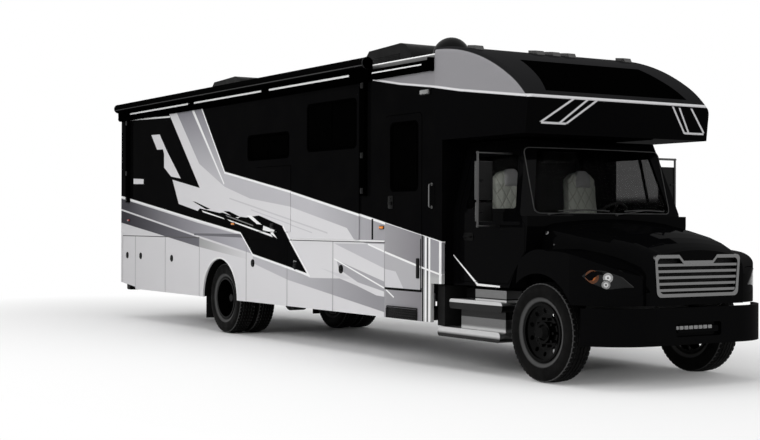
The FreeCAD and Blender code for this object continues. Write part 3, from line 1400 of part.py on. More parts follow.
def build():
    os.makedirs("parts", exist_ok=True)
    for name, side in (("right", RIGHT), ("left", LEFT)):
        save("front_wheel_" + name, front_wheel(side))
        save("front_tyre_" + name, tyre(AXLE_X, side * FRONT_TRACK_HALF))
        save("rear_wheels_" + name, rear_wheels(side))
        save("rear_tyres_" + name, rear_tyres(side))
        save("knuckle_" + name, knuckle(side))
    save("frame", frame())
    save("powertrain", powertrain())
    save("front_axle", front_axle())
    save("rear_axle", rear_axle())
    save("lower_body", lower_body().cut(step_recess()))
    for i, (x0, x1) in enumerate(RIGHT_BAYS):
        save("storage_door_right_%d" % (i + 1), storage_door(RIGHT, x0, x1))
    for i, (x0, x1) in enumerate(LEFT_BAYS):
        save("storage_door_left_%d" % (i + 1), storage_door(LEFT, x0, x1))
    save("right_wall", right_wall())
    save("left_wall", left_wall())
    save("rear_wall", rear_wall())
    save("roof", roof())
    save("overhead_cap", overhead_cap())
    save("house_glass", house_glass())
    save("entry_door", entry_door())
    save("entry_glass", entry_glass())
    save("hatch", hatch())
    save("slide_out", slide_out())
    save("slide_glass", slide_glass())
    save("roof_units", roof_units())
    save("awning", awning())
    save("lamps", lamps())
    save("rear_bumper", rear_bumper())
    save("mudflaps", mudflaps())
    skin = cab_skin()
    save("cab_shell", cab_shell())
    save("cab_glass", cab_glass())
    for name, side in (("right", RIGHT), ("left", LEFT)):
        save("cab_door_" + name, cab_door(side, skin))
        save("cab_door_glass_" + name, cab_door_glass(side))
        save("mirror_" + name, mirror(side))
    save("hood", hood())
    save("grille", grille())
    save("headlights", headlights())
    save("bumper", bumper())
    save("seats", seats())
    save("dashboard", dashboard())
    save("cab_steps", cab_steps())
    save("step_boxes", step_boxes())


build()
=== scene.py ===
"""Looks of the motorhome: paint, glass, lamps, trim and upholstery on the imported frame."""

import math

import bmesh
import bpy
from mathutils import Matrix, Vector


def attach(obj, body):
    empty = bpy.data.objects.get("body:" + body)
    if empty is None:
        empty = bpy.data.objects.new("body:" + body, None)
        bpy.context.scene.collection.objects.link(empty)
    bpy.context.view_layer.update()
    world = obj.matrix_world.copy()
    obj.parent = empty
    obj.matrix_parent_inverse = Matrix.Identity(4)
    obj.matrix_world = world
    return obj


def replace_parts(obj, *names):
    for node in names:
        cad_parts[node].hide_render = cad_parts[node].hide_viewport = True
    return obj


# Main places in metres: X forward, Y to the left, Z up; LIFT is how far trim stands off the skin

FRONT_AXLE_X = 5.132
REAR_AXLE_X = -2.218
TAIL_X = -6.142
BODY_HALF = 1.285
DOOR_HALF = BODY_HALF + 0.004
CAB_HALF = 1.13
WHEEL_Z = 0.515
RIGHT = -1
LEFT = 1
SIDES = (("right", RIGHT), ("left", LEFT))
LIFT = 0.0003


def ax(offset):
    """Place along X, measured forward from the front axle."""
    return FRONT_AXLE_X + offset


def around(a, b, half_a, half_b):
    """Box of the given half sizes round a place."""
    return (a - half_a, a + half_a, b - half_b, b + half_b)


def tone(*levels):
    """Linear colour from display levels between 0 and 255."""
    if len(levels) == 1:
        levels = levels * 3
    linear = [((v / 255 + 0.055) / 1.055) ** 2.4 if v > 10 else v / 3295 for v in levels]
    return tuple(linear) + (1.0,)


def link(name, data):
    """New object in the scene."""
    made = bpy.data.objects.new(name, data)
    bpy.context.scene.collection.objects.link(made)
    return made


# Material building

SOCKETS = {"coat": "Coat Weight", "coat_rough": "Coat Roughness", "specular": "Specular IOR Level",
           "alpha": "Alpha"}


class Finish:
    """A node material under construction, with short ways to wire its nodes."""

    def __init__(self, name, colour, roughness=0.5, metallic=0.0, **constants):
        self.material = bpy.data.materials.new(name)
        self.material.use_nodes = True
        self.tree = self.material.node_tree
        self.shader = self.tree.nodes["Principled BSDF"]
        self.place = self.node("ShaderNodeTexCoord").outputs["Object"]
        split = self.node("ShaderNodeSeparateXYZ")
        self.feed(split.inputs[0], self.place)
        self.x, self.y, self.z = split.outputs
        self.colour = colour
        self.into("Base Color", colour)
        self.into("Roughness", roughness)
        self.into("Metallic", metallic)
        for key, value in constants.items():
            self.into(SOCKETS[key], value)

    def node(self, kind, **settings):
        node = self.tree.nodes.new(kind)
        for key, value in settings.items():
            setattr(node, key, value)
        return node

    def feed(self, socket, value):
        if isinstance(value, bpy.types.NodeSocket):
            self.tree.links.new(value, socket)
        else:
            socket.default_value = value

    def into(self, name, value):
        self.feed(self.shader.inputs[name], value)

    def math(self, operation, a, b=0.0):
        node = self.node("ShaderNodeMath", operation=operation)
        self.feed(node.inputs[0], a)
        self.feed(node.inputs[1], b)
        return node.outputs[0]

    def minus(self, a, b):
        return self.math("SUBTRACT", a, b)

    def times(self, a, b):
        return self.math("MULTIPLY", a, b)

    def size(self, value):
        return self.math("ABSOLUTE", value)

    def off(self, value, middle):
        """How far a value is from the middle, either way."""
        return self.size(self.minus(value, middle))

    def near(self, value, middle, half):
        """Positive where a value is within half of the middle."""
        return self.minus(half, self.off(value, middle))

    def least(self, *values):
        result = values[0]
        for value in values[1:]:
            result = self.math("MINIMUM", result, value)
        return result

    def ramp(self, value, low, high, start=0.0, end=1.0):
        node = self.node("ShaderNodeMapRange", clamp=True)
        for socket, number in zip(node.inputs, (value, low, high, start, end)):
            self.feed(socket, number)
        return node.outputs[0]

    def noise(self, scale, detail=3.0, stretch=None):
        node = self.node("ShaderNodeTexNoise")
        place = self.place
        if stretch:
            mapping = self.node("ShaderNodeMapping")
            self.feed(mapping.inputs["Scale"], stretch)
            self.feed(mapping.inputs["Vector"], place)
            place = mapping.outputs[0]
        self.feed(node.inputs["Vector"], place)
        self.feed(node.inputs["Scale"], scale)
        self.feed(node.inputs["Detail"], detail)
        return node.outputs["Fac"]

    def mix(self, share, first, second):
        node = self.node("ShaderNodeMix", data_type="RGBA")
        self.feed(node.inputs[0], share)
        self.feed(node.inputs[6], first)
        self.feed(node.inputs[7], second)
        return node.outputs[2]

    def fade(self, value, low, high, first, second):
        return self.mix(self.ramp(value, low, high), first, second)

    def lay(self, share, colour):
        """Cover the colour so far with another one where share is 1."""
        self.colour = self.mix(share, self.colour, colour)

    def tint(self, colour, value, low, high, start=0.0, end=1.0):
        """Cover the colour so far by a share that follows a value."""
        self.lay(self.ramp(value, low, high, start, end), colour)

    def axle_distance(self, x):
        """Distance from an axle's line across the body."""
        along = self.minus(self.x, x)
        up = self.minus(self.z, WHEEL_Z)
        return self.math("SQRT", self.math("ADD", self.times(along, along), self.times(up, up)))

    def rough(self, low, high, scale=6.0, stretch=None):
        self.into("Roughness", self.ramp(self.noise(scale, 4.0, stretch), 0.3, 0.7, low, high))

    def bump(self, height, distance, strength=1.0):
        node = self.node("ShaderNodeBump")
        self.feed(node.inputs["Distance"], distance)
        self.feed(node.inputs["Strength"], strength)
        self.feed(node.inputs["Height"], height)
        self.into("Normal", node.outputs[0])

    def grain(self, scale, detail, distance, strength, stretch=None):
        self.bump(self.noise(scale, detail, stretch), distance, strength)

    def done(self, dirt=0.0):
        """Close the material; dirt greys what lies low and in patches."""
        if dirt:
            low = self.ramp(self.z, 0.2, 1.1, 1.0, 0.25)
            patch = self.ramp(self.noise(2.3, 6.0), 0.35, 0.75, 0.0, dirt)
            self.lay(self.times(low, patch), tone(118, 114, 108))
        self.into("Base Color", self.colour)
        return self.material


class Artwork(Finish):
    """Enamel with plain shapes laid over one another by their (x, z) place."""

    edge = 0.0022

    def past(self, normal, spot):
        """Distance beyond the plane through a spot, along its normal."""
        dot = self.node("ShaderNodeVectorMath", operation="DOT_PRODUCT")
        self.feed(dot.inputs[0], self.place)
        self.feed(dot.inputs[1], normal)
        return self.minus(dot.outputs["Value"], sum(n * s for n, s in zip(normal, spot)))

    def beside(self, a, b):
        """Distance from the line a to b, positive on its left."""
        dx = b[0] - a[0]
        dz = b[1] - a[1]
        length = math.hypot(dx, dz)
        return self.past((-dz / length, 0.0, dx / length), (a[0], 0.0, a[1]))

    def ahead(self, x):
        return self.minus(self.x, x)

    def behind(self, x):
        return self.minus(x, self.x)

    def shape(self, *points):
        """Depth inside a convex shape, negative outside it."""
        area = sum(a[0] * b[1] - b[0] * a[1] for a, b in zip(points, points[1:] + points[:1]))
        if area < 0:
            points = points[::-1]
        return self.least(*[self.beside(a, b) for a, b in zip(points, points[1:] + points[:1])])

    def cover(self, colour, *depths):
        """Lay a colour where all the depths are positive."""
        self.lay(self.ramp(self.least(*depths), -self.edge, self.edge), colour)

    def fill(self, colour, *points):
        self.cover(colour, self.shape(*points))

    def above(self, points):
        """Height over a broken line through (x, z) points."""
        xs = [p[0] for p in points]
        zs = [p[1] for p in points]
        low = min(zs)
        high = max(zs)
        node = self.node("ShaderNodeFloatCurve")
        curve = node.mapping.curves[0]
        shares = [((x - xs[0]) / (xs[-1] - xs[0]), (z - low) / (high - low)) for x, z in points]
        curve.points[0].location = shares[0]
        curve.points[-1].location = shares[-1]
        for share in shares[1:-1]:
            curve.points.new(*share)
        for point in curve.points:
            point.handle_type = "VECTOR"
        node.mapping.update()
        self.feed(node.inputs["Value"], self.ramp(self.x, xs[0], xs[-1]))
        return self.minus(self.z, self.ramp(node.outputs[0], 0.0, 1.0, low, high))

    def below(self, points):
        return self.times(self.above(points), -1.0)

    def line(self, a, b, width, colour):
        """Straight line of paint between two (x, z) points."""
        dx = b[0] - a[0]
        dz = b[1] - a[1]
        half = width / 2 / math.hypot(dx, dz)
        ox = -dz * half
        oz = dx * half
        self.fill(colour, (a[0] - ox, a[1] - oz), (b[0] - ox, b[1] - oz), (b[0] + ox, b[1] + oz),
                  (a[0] + ox, a[1] + oz))

    def front_band(self, low, high, width):
        """Slanted stroke on a face that looks forward, between two (y, z) points."""
        dy = high[0] - low[0]
        dz = high[1] - low[1]
        length = math.hypot(dy, dz)
        beyond = self.past((0.0, dz / length, -dy / length), (0.0, low[0], low[1]))
        return self.least(self.near(beyond, 0.0, width / 2), self.minus(self.z, low[1]),
                          self.minus(high[1], self.z), self.ahead(CAP_FACE_X))


# Paint

WHITE = tone(214, 213, 215)
EDGE_WHITE = tone(236)
PALE = tone(186, 185, 189)
JET = (0.0016, 0.0016, 0.0018, 1.0)
CAP_FACE_X = 4.6

RIBBON_LOW = [(-6.2, 2.07), (-5.56, 1.988), (-2.992, 1.657), (-1.528, 1.475), (-1.142, 1.174),
              (-0.037, 1.019), (0.48, 0.945)]
RIBBON_HIGH = [(-3.712, 1.916), (-3.0, 1.802), (-2.93, 1.842), (-2.228, 1.77), (-2.13, 1.775),
               (-1.62, 1.69), (-1.529, 1.712), (-1.346, 1.7), (-1.1, 1.72), (-0.949, 1.729),
               (-0.23, 1.581), (-0.04, 1.394), (0.48, 0.945)]
UPPER_EDGE = [(-2.06, 2.357), (0.04, 2.03), (2.03, 1.68), (3.03, 1.5), (3.59, 1.4)]
BAND_EDGE = [(-2.058, 2.151), (-1.234, 1.968), (0.016, 1.839), (1.484, 1.566), (1.654, 1.428),
             (1.919, 1.38), (3.6, 1.37)]
CAP_LINE = [(2.0, 3.37), (2.66, 3.26), (3.36, 3.17), (3.87, 3.09), (5.07, 2.94)]
DOOR_SEAMS = (-6.068, -5.498, -4.238, -2.938, -1.348, -0.121, 1.105, 2.332)


def gloss(finish, coat):
    finish.into("Coat Weight", coat)
    finish.into("Coat Roughness", 0.04)
    finish.into("Specular IOR Level", 0.0)
    finish.rough(0.13, 0.2, 2.0)
    finish.grain(300.0, 2.0, 0.0002, 0.08)


def tail_bands(art):
    """Two grey bands of the tail that fade forward, with white lines over them and a painted shadow streak
    under the door tops.
    """
    upper = [(-6.2, 2.04), (-5.56, 1.958), (-2.992, 1.622), (-1.516, 1.449), (-1.142, 1.16)]
    middle = [(-6.2, 1.85), (-6.138, 1.841), (-2.99, 1.415), (-1.142, 1.174)]
    lower = [(-6.2, 1.63), (-6.077, 1.612), (-4.625, 1.449), (-2.989, 1.26), (-1.141, 1.093)]
    end = art.behind(-1.142)
    dark = art.fade(art.x, -5.9, -3.0, tone(62, 61, 66), tone(112, 111, 117))
    dark = art.fade(art.x, -2.96, -2.92, dark, art.fade(art.x, -2.9, -1.2, tone(165), WHITE))
    art.cover(dark, art.above(lower), art.below(middle), end)
    pale = art.fade(art.x, -5.9, -1.5, tone(72, 71, 76), tone(172, 171, 177))
    art.cover(pale, art.above(middle), art.below(upper), end)
    art.cover(WHITE, art.near(art.above(middle), 0.0, 0.014), end)
    # Painted shadow: a grey streak where the storage door tops cast shade on the band.
    art.fill(tone(112, 111, 116), (-3.131, 1.462), (-1.548, 1.466), (-1.425, 1.413), (-3.131, 1.433))


def rear_corner(art):
    """Black rear corner with its white marks and the pale diagonals beside it."""
    front_edge = art.beside((-2.927, 2.15), (-4.073, 3.32))
    art.cover(JET, front_edge, art.above(RIBBON_LOW))
    art.cover(EDGE_WHITE, art.shape((-6.2, 3.385), (-4.07, 3.315), (-4.07, 3.29), (-6.2, 3.36)),
              front_edge)
    below_gap = art.shape((-3.963, 2.301), (-2.927, 2.15), (-2.2, 2.04), (-2.2, 1.6), (-3.506, 1.6))
    art.cover(WHITE, below_gap, art.above(RIBBON_HIGH))
    for mark in (((-4.826, 3.052), (-4.482, 3.044), (-4.221, 2.796), (-4.585, 2.802)),
                 ((-4.482, 3.044), (-4.221, 2.796), (-4.298, 2.7), (-4.4, 2.9)),
                 ((-4.298, 2.8), (-4.221, 2.796), (-3.641, 2.313), (-4.014, 2.353), (-4.296, 2.504)),
                 ((-5.59, 2.36), (-5.15, 2.34), (-5.15, 2.26), (-5.59, 2.27))):
        art.fill(WHITE, *mark)
    art.fill(art.fade(art.z, 2.3, 3.3, PALE, tone(138, 137, 143)), (-3.937, 3.48), (-2.953, 2.518),
             (-2.058, 2.151), (-2.06, 2.357), (-2.975, 3.48))
    art.fill(EDGE_WHITE, (-3.37, 3.48), (-3.276, 3.48), (-2.07, 2.2), (-2.09, 2.18))


def upper_black(art):
    """Grey band under the black upper side, and the white line between them."""
    band_tone = art.fade(art.x, 0.6, 2.2, PALE, tone(158, 157, 161))
    art.cover(band_tone, art.above(BAND_EDGE), art.below(UPPER_EDGE), art.ahead(-2.06))
    black = art.least(art.beside((-2.975, 3.48), (-2.06, 2.357)), art.above(UPPER_EDGE))
    art.cover(JET, black)
    art.cover(EDGE_WHITE, art.near(black, 0.0, 0.015))
    faint = tone(196, 195, 198)
    art.line((-1.9, 1.98), (1.0, 1.5), 0.02, faint)
    art.line((-1.2, 1.81), (0.6, 1.5), 0.014, faint)


def cap_tail(art):
    """Silver wedge of the cap that runs back along the upper side under the roof edge."""
    start = art.ahead(2.02)
    art.cover(tone(136, 135, 138), art.above(CAP_LINE), start)
    art.cover(WHITE, art.near(art.above(CAP_LINE), 0.0, 0.012), start)


def skirt_bands(art):
    """Pale bands that run forward below the plate to the entry."""
    lower = [(-1.2, 1.07), (-1.052, 1.042), (-0.096, 0.862), (1.142, 0.713), (2.36, 0.565)]
    upper = [(-1.2, 1.18), (-0.037, 1.019), (0.522, 0.912), (1.281, 0.931), (1.691, 0.859),
             (2.149, 0.76), (2.36, 0.75)]
    shade = art.fade(art.x, -0.2, 2.2, tone(184, 183, 187), tone(146, 145, 149))
    art.cover(shade, art.above(lower), art.below(upper), art.ahead(-1.142), art.behind(2.345))
    art.fill(tone(166, 165, 169), (1.2, 1.16), (2.34, 0.93), (2.34, 0.7), (1.72, 0.9), (1.3, 0.96))
    art.fill(tone(205, 204, 207), (0.4, 1.1), (1.35, 0.98), (1.75, 0.9), (2.15, 0.762),
             (1.691, 0.859), (1.281, 0.931), (0.522, 0.912))
    art.line((1.139, 1.174), (2.339, 0.852), 0.018, EDGE_WHITE)
    art.fill(PALE, (1.14, 1.37), (1.952, 1.372), (2.34, 1.286), (2.34, 1.086), (1.278, 1.336))
    art.line((1.952, 1.372), (2.336, 1.286), 0.02, EDGE_WHITE)


def body_seams(art):
    """Soft shadows along the joints of the storage doors."""
    for x in DOOR_SEAMS:
        art.line((x, 0.5), (x, 1.4), 0.016, tone(158, 157, 160))
    for start, end in ((-6.07, -2.94), (-1.35, 2.34)):
        art.line((start, 1.398), (end, 1.398), 0.014, tone(120))


def ribbon(art):
    """Black ribbon that widens into a plate, with slashes across it."""
    end = art.behind(0.48)
    art.cover(JET, art.above(RIBBON_LOW), art.below(RIBBON_HIGH), art.ahead(-3.712), end)
    art.cover(EDGE_WHITE, art.near(art.above(RIBBON_LOW), 0.0, 0.015), end)
    art.fill(JET, (-3.182, 1.95), (-3.1, 1.945), (-2.55, 1.83), (-2.7, 1.825))
    art.fill(JET, (-2.098, 1.797), (-1.9, 1.79), (-1.55, 1.71), (-1.75, 1.7))
    art.line((-0.05, 1.394), (0.5, 0.925), 0.03, EDGE_WHITE)
    art.line((-0.24, 1.585), (-0.04, 1.394), 0.03, EDGE_WHITE)
    for slash in (((-2.855, 1.811), (-2.098, 1.695), (-2.054, 1.676), (-2.809, 1.782)),
                  ((-1.969, 1.676), (-0.582, 1.466), (-0.544, 1.431), (-1.884, 1.648)),
                  ((-0.812, 1.587), (-0.47, 1.527), (-0.526, 1.492), (-0.831, 1.525)),
                  ((-0.6, 1.5), (-0.526, 1.492), (-0.413, 1.415), (-0.601, 1.474)),
                  ((-1.346, 1.73), (-1.2, 1.73), (-0.86, 1.6), (-1.02, 1.61))):
        art.fill(EDGE_WHITE, *slash)
    art.fill(tone(120), (-2.033, 1.741), (-1.145, 1.595), (-1.125, 1.577), (-1.969, 1.713))
    art.fill(tone(150), (0.06, 1.13), (0.14, 1.12), (0.1, 1.03), (0.04, 1.05))


def entry_foot(art):
    """Lower part of the entry door and the striped post in front of it."""
    art.fill(art.fade(art.x, 2.3, 3.1, tone(156, 155, 158), tone(132, 130, 134)),
             (2.345, 1.63), (3.13, 1.49), (3.13, 0.5), (2.345, 0.5))
    art.fill(tone(176, 175, 178), (2.345, 1.284), (3.13, 1.124), (3.13, 0.86), (2.345, 0.86))
    art.fill(tone(204, 203, 206), (2.345, 1.084), (2.585, 1.06), (2.752, 0.87), (2.345, 0.87))
    art.line((2.336, 1.286), (3.13, 1.124), 0.024, EDGE_WHITE)
    art.line((2.339, 0.852), (2.54, 0.755), 0.018, EDGE_WHITE)
    post = art.shape((3.13, 1.49), (3.6, 1.4), (3.6, 0.4), (3.13, 0.4))
    art.cover(art.fade(art.z, 1.0, 1.1, tone(176), tone(150, 149, 153)), post)
    for place, width, colour in ((3.15, 0.03, tone(30)), (3.21, 0.035, EDGE_WHITE), (3.245, 0.02, tone(60)),
                                 (3.285, 0.035, EDGE_WHITE), (3.5, 0.045, EDGE_WHITE)):
        art.cover(colour, art.near(art.x, place, width / 2), post)
    art.line((3.13, 1.124), (3.53, 1.05), 0.02, EDGE_WHITE)
    art.line((2.34, 0.854), (3.13, 0.854), 0.028, tone(16))
    art.line((3.112, 0.86), (3.112, 1.45), 0.02, tone(28))
    art.fill(tone(18), (2.035, 1.68), (2.075, 1.68), (2.075, 1.43), (2.035, 1.43))


def wheel_wells(art):
    """Dark lining inside the wheel openings."""
    depth = art.minus(1.262, art.size(art.y))
    art.cover(tone(12), depth, art.minus(0.66, art.axle_distance(REAR_AXLE_X)))


def coach_paint():
    """White coach side with its black, grey and white bands."""
    art = Artwork("coach_paint", WHITE)
    for layer in (tail_bands, rear_corner, upper_black, cap_tail, skirt_bands, body_seams, ribbon,
                  entry_foot, wheel_wells):
        layer(art)
    gloss(art, 0.015)
    return art.done(0.02)


FRONT_STROKES = [((-1.09, 2.68), (-0.67, 2.94)), ((-0.84, 2.68), (-0.48, 2.94)),
                 ((-0.76, 2.67), (-0.35, 2.94)), ((0.94, 2.63), (0.73, 2.92)),
                 ((1.0, 2.64), (0.83, 2.91)), ((1.23, 2.65), (1.01, 2.91))]
CAP_STRIPS = [(-1.09, -0.76, 2.672), (0.94, 1.23, 2.636)]


def cap_paint():
    """Dark cap with silver flanks over a black band, with white lines and slanted strokes."""
    art = Artwork("cap_paint", tone(30, 30, 31))
    on_side = art.minus(art.size(art.y), BODY_HALF - 0.012)
    art.cover(tone(140, 139, 142), on_side, art.minus(art.z, 1.0))
    art.cover(JET, art.minus(2.94, art.z))
    art.cover(JET, art.below(CAP_LINE), on_side)
    art.cover(WHITE, art.near(art.above(CAP_LINE), 0.0, 0.013), on_side)
    for low, high in FRONT_STROKES:
        art.cover(WHITE, art.front_band(low, high, 0.022))
    forward = art.ahead(CAP_FACE_X)
    for start, end, level in CAP_STRIPS:
        art.cover(WHITE, art.near(art.z, level, 0.011), art.minus(art.y, start), art.minus(end, art.y),
                  forward)
    art.cover(WHITE, art.near(art.z, 2.945, 0.016), art.times(on_side, -1.0), forward)
    gloss(art, 0.02)
    art.into("Roughness", art.ramp(art.z, 2.56, 2.64, 0.9, 0.18))
    return art.done()


def cab_paint():
    """Gloss black enamel with the white accent line of the cab side."""
    art = Artwork("cab_paint", JET)
    side = art.minus(art.size(art.y), 1.1)
    for corners in (((3.34, 1.411), (3.34, 1.403), (3.99, 0.95), (4.01, 0.968)),
                    ((3.98, 0.948), (4.4, 0.94), (4.4, 0.962), (3.98, 0.972))):
        art.cover(EDGE_WHITE, art.shape(*corners), side)
    gloss(art, 0.04)
    return art.done()


def black_enamel():
    finish = Finish("black_enamel", JET)
    gloss(finish, 0.04)
    return finish.done()


def plain_white():
    finish = Finish("roof_white", tone(226), 0.45)
    finish.rough(0.38, 0.55, 5.0)
    finish.grain(60.0, 2.0, 0.0006, 0.3)
    return finish.done(0.1)


def roof_paint():
    """White roof with its dark edge band along each side."""
    art = Artwork("roof_edge", tone(224), 0.45)
    art.cover(tone(46), art.minus(3.535, art.z))
    art.rough(0.35, 0.5, 5.0)
    art.grain(60.0, 2.0, 0.0006, 0.3)
    return art.done()


# Plastic, metal, rubber and glass

def moulded(name, level, roughness=0.5, grain=420.0, shine=0.12):
    """Moulded plastic with a fine leather-like grain."""
    finish = Finish(name, tone(level), roughness, specular=shine)
    finish.rough(roughness - 0.07, roughness + 0.08, 9.0)
    finish.grain(grain, 2.0, 0.0004, 0.35)
    finish.tint(tone(level * 1.5 + 2), finish.noise(4.0), 0.3, 0.7, 0.0, 0.3)
    return finish.done()


def awning_black():
    """Dark grey roll over a black case, with a thin pale rail between them."""
    finish = Finish("awning_black", tone(6), 0.5, specular=0.0)
    finish.rough(0.43, 0.58, 9.0)
    finish.grain(420.0, 2.0, 0.0004, 0.35)
    finish.tint(tone(1), finish.z, 3.5, 3.52, 1.0, 0.0)
    finish.tint(tone(70), finish.off(finish.z, 3.53), 0.004, 0.007, 1.0, 0.0)
    return finish.done()


def wheel_black():
    """Black powder coat on a forged wheel, with paler worn patches."""
    finish = Finish("wheel_black", tone(2), 0.25, coat=0.06, coat_rough=0.05, specular=0.02)
    finish.tint(tone(10), finish.noise(26.0, 5.0), 0.5, 0.8, 0.0, 0.35)
    finish.rough(0.16, 0.3, 9.0)
    finish.grain(150.0, 2.0, 0.0003, 0.25)
    return finish.done()


def chassis_coat():
    finish = Finish("chassis_coat", tone(12), 0.6)
    finish.tint(tone(26, 24, 22), finish.noise(7.0, 5.0), 0.45, 0.75, 0.0, 0.5)
    finish.rough(0.5, 0.75, 8.0)
    finish.grain(90.0, 3.0, 0.001, 0.4)
    return finish.done()


def bright_metal(name, level, roughness):
    finish = Finish(name, tone(level), roughness, 1.0)
    finish.rough(roughness * 0.8, roughness * 1.3, 14.0)
    finish.grain(80.0, 3.0, 0.0003, 0.25)
    return finish.done()


def rubber():
    """Tyre rubber with a painted reflection ring near the bead and a thin painted highlight ring at the
    shoulder.
    """
    finish = Finish("tyre_rubber", tone(6), 0.75, specular=0.05)
    finish.tint(tone(15), finish.noise(11.0, 5.0), 0.35, 0.75, 0.0, 0.5)
    radius = finish.least(*[finish.axle_distance(x) for x in (FRONT_AXLE_X, REAR_AXLE_X)])
    # Painted light: a wide pale ring of painted reflection near the bead and a thin ring of painted
    # highlight at the shoulder.
    for middle, half, share in ((0.338, 0.026, 0.75), (0.498, 0.007, 0.7)):
        finish.tint(tone(86), finish.off(radius, middle), half * 0.4, half, share, 0.0)
    finish.rough(0.55, 0.8, 12.0)
    finish.grain(260.0, 3.0, 0.0008, 0.5)
    return finish.done(0.02)


def glass(name, level, alpha, roughness, shine):
    """Thin tinted pane that lets some light through."""
    finish = Finish(name, tone(level), roughness, alpha=alpha, specular=shine)
    finish.rough(roughness, roughness + 0.05, 2.0)
    return finish.done()


def far_door_glass():
    """Darker pane with a divider bar for its quarter window, and painted shade darkening it towards its
    foot.
    """
    divider_x = 4.312
    finish = Finish("far_glass", tone(4), 0.03, specular=0.03)
    bar = finish.ramp(finish.off(finish.x, divider_x), 0.022, 0.026, 1.0, 0.0)
    # Painted shade: the pane turns darker and more solid towards its foot.
    foot = finish.ramp(finish.z, 1.86, 1.95, 1.0, 0.0)
    bar_and_painted_shade = finish.math("MAXIMUM", bar, foot)
    finish.lay(bar_and_painted_shade, tone(2))
    finish.into("Alpha", finish.math("ADD", 0.72, finish.times(bar_and_painted_shade, 0.28)))
    finish.rough(0.02, 0.07, 2.0)
    return finish.done()


def lens(name, colour, alpha, forward=None):
    """Ribbed lamp lens, with another colour where it stands on the front half."""
    finish = Finish(name, colour, 0.12, alpha=alpha, coat=0.4)
    if forward:
        finish.lay(finish.ramp(finish.x, -0.1, 0.1), forward)
    wave = finish.node("ShaderNodeTexWave", wave_type="BANDS", bands_direction="Z")
    finish.feed(wave.inputs["Vector"], finish.place)
    finish.feed(wave.inputs["Scale"], 34.0)
    finish.bump(wave.outputs["Fac"], 0.002, 0.4)
    finish.rough(0.08, 0.2, 7.0)
    return finish.done()


# Centre of each bowl in the right lamp, then rings of (radius, display levels) from the outside in; the
# bright rings are painted reflections
BOWL_RINGS_AND_REFLECTIONS = [((5.976, -1.003, 1.101), ((0.056, 8), (0.05, 150), (0.03, 214), (0.012, 60))),
         ((5.963, -1.017, 1.033), ((0.05, 8), (0.044, 130), (0.026, 200), (0.012, 60))),
         ((5.861, -1.108, 1.109), ((0.07, 86, 50, 28), (0.04, 150, 82, 34), (0.014, 60, 36, 22)))]


def headlight_glass():
    """Smoked headlamp cover with two bowls drawn as bright rings of painted reflection, and an amber corner
    behind it.
    """
    finish = Finish("headlight_glass", tone(14, 15, 16), 0.12, coat=0.15, specular=0.1)
    across = finish.size(finish.y)
    place = finish.node("ShaderNodeCombineXYZ")
    for socket, value in zip(place.inputs, (finish.x, finish.times(across, -1.0), finish.z)):
        finish.feed(socket, value)
    # Painted reflections: bright rings stand for the chrome of each bowl.
    for spot, rings in BOWL_RINGS_AND_REFLECTIONS:
        gap = finish.node("ShaderNodeVectorMath", operation="DISTANCE")
        finish.feed(gap.inputs[0], place.outputs[0])
        finish.feed(gap.inputs[1], spot)
        for radius, *levels in rings:
            finish.tint(tone(*levels), gap.outputs["Value"], radius - 0.003, radius, 1.0, 0.0)
    finish.tint(tone(10), across, 0.93, 0.86)
    finish.rough(0.06, 0.14, 5.0)
    return finish.done()


def mirror_finish():
    """Grey tubes that carry black mirror heads."""
    finish = Finish("mirror_body", tone(78), 0.4, 1.0, specular=0.1)
    across = finish.size(finish.y)
    inside = finish.least(finish.minus(across, 1.206), finish.minus(1.409, across),
                          finish.near(finish.z, 1.97, 0.32))
    head = finish.ramp(inside, 0.0, 0.003)
    finish.lay(head, tone(8))
    finish.into("Metallic", finish.minus(1.0, head))
    finish.rough(0.3, 0.45, 8.0)
    finish.grain(90.0, 2.0, 0.0003, 0.2)
    return finish.done()


def grille_finish():
    """Satin bars with painted shade that darkens them towards the mesh behind them."""
    finish = Finish("grille_silver", tone(112), 0.25, 1.0)
    painted_recess_shade = finish.ramp(finish.x, 6.156, 6.162, 1.0, 0.0)
    # Painted shade: the deep part of the bars is black and not metallic.
    finish.lay(painted_recess_shade, tone(6))
    finish.into("Metallic", finish.minus(1.0, painted_recess_shade))
    finish.rough(0.2, 0.34, 12.0)
    finish.grain(80.0, 3.0, 0.0003, 0.25)
    return finish.done()


def mesh_screen():
    """Fine dark wire screen."""
    finish = Finish("mesh_screen", tone(5), 0.6, specular=0.1)
    cells = finish.node("ShaderNodeTexVoronoi", feature="DISTANCE_TO_EDGE")
    finish.feed(cells.inputs["Vector"], finish.place)
    finish.feed(cells.inputs["Scale"], 55.0)
    wire = finish.ramp(cells.outputs["Distance"], 0.04, 0.12, 1.0, 0.0)
    finish.lay(wire, tone(26))
    finish.bump(wire, 0.002, 0.6)
    finish.rough(0.5, 0.7, 12.0)
    return finish.done()


# Height, half width, soft edge and level of each bright band on the cab steps
STEP_BANDS = ((0.87, 0.045, 0.004, 118), (0.78, 0.026, 0.004, 205), (0.555, 0.045, 0.004, 112),
              (0.455, 0.03, 0.03, 205))
BRUSHED = (1.0, 1.0, 14.0)


def step_aluminium():
    """Dull risers with paler kick plates and bright nosings."""
    finish = Finish("step_aluminium", tone(40), 0.36, 1.0)
    for level, half, soft, shade in STEP_BANDS:
        finish.tint(tone(shade), finish.off(finish.z, level), half, half + soft, 1.0, 0.0)
    finish.rough(0.28, 0.46, 14.0, BRUSHED)
    finish.grain(80.0, 3.0, 0.0003, 0.25, BRUSHED)
    return finish.done()


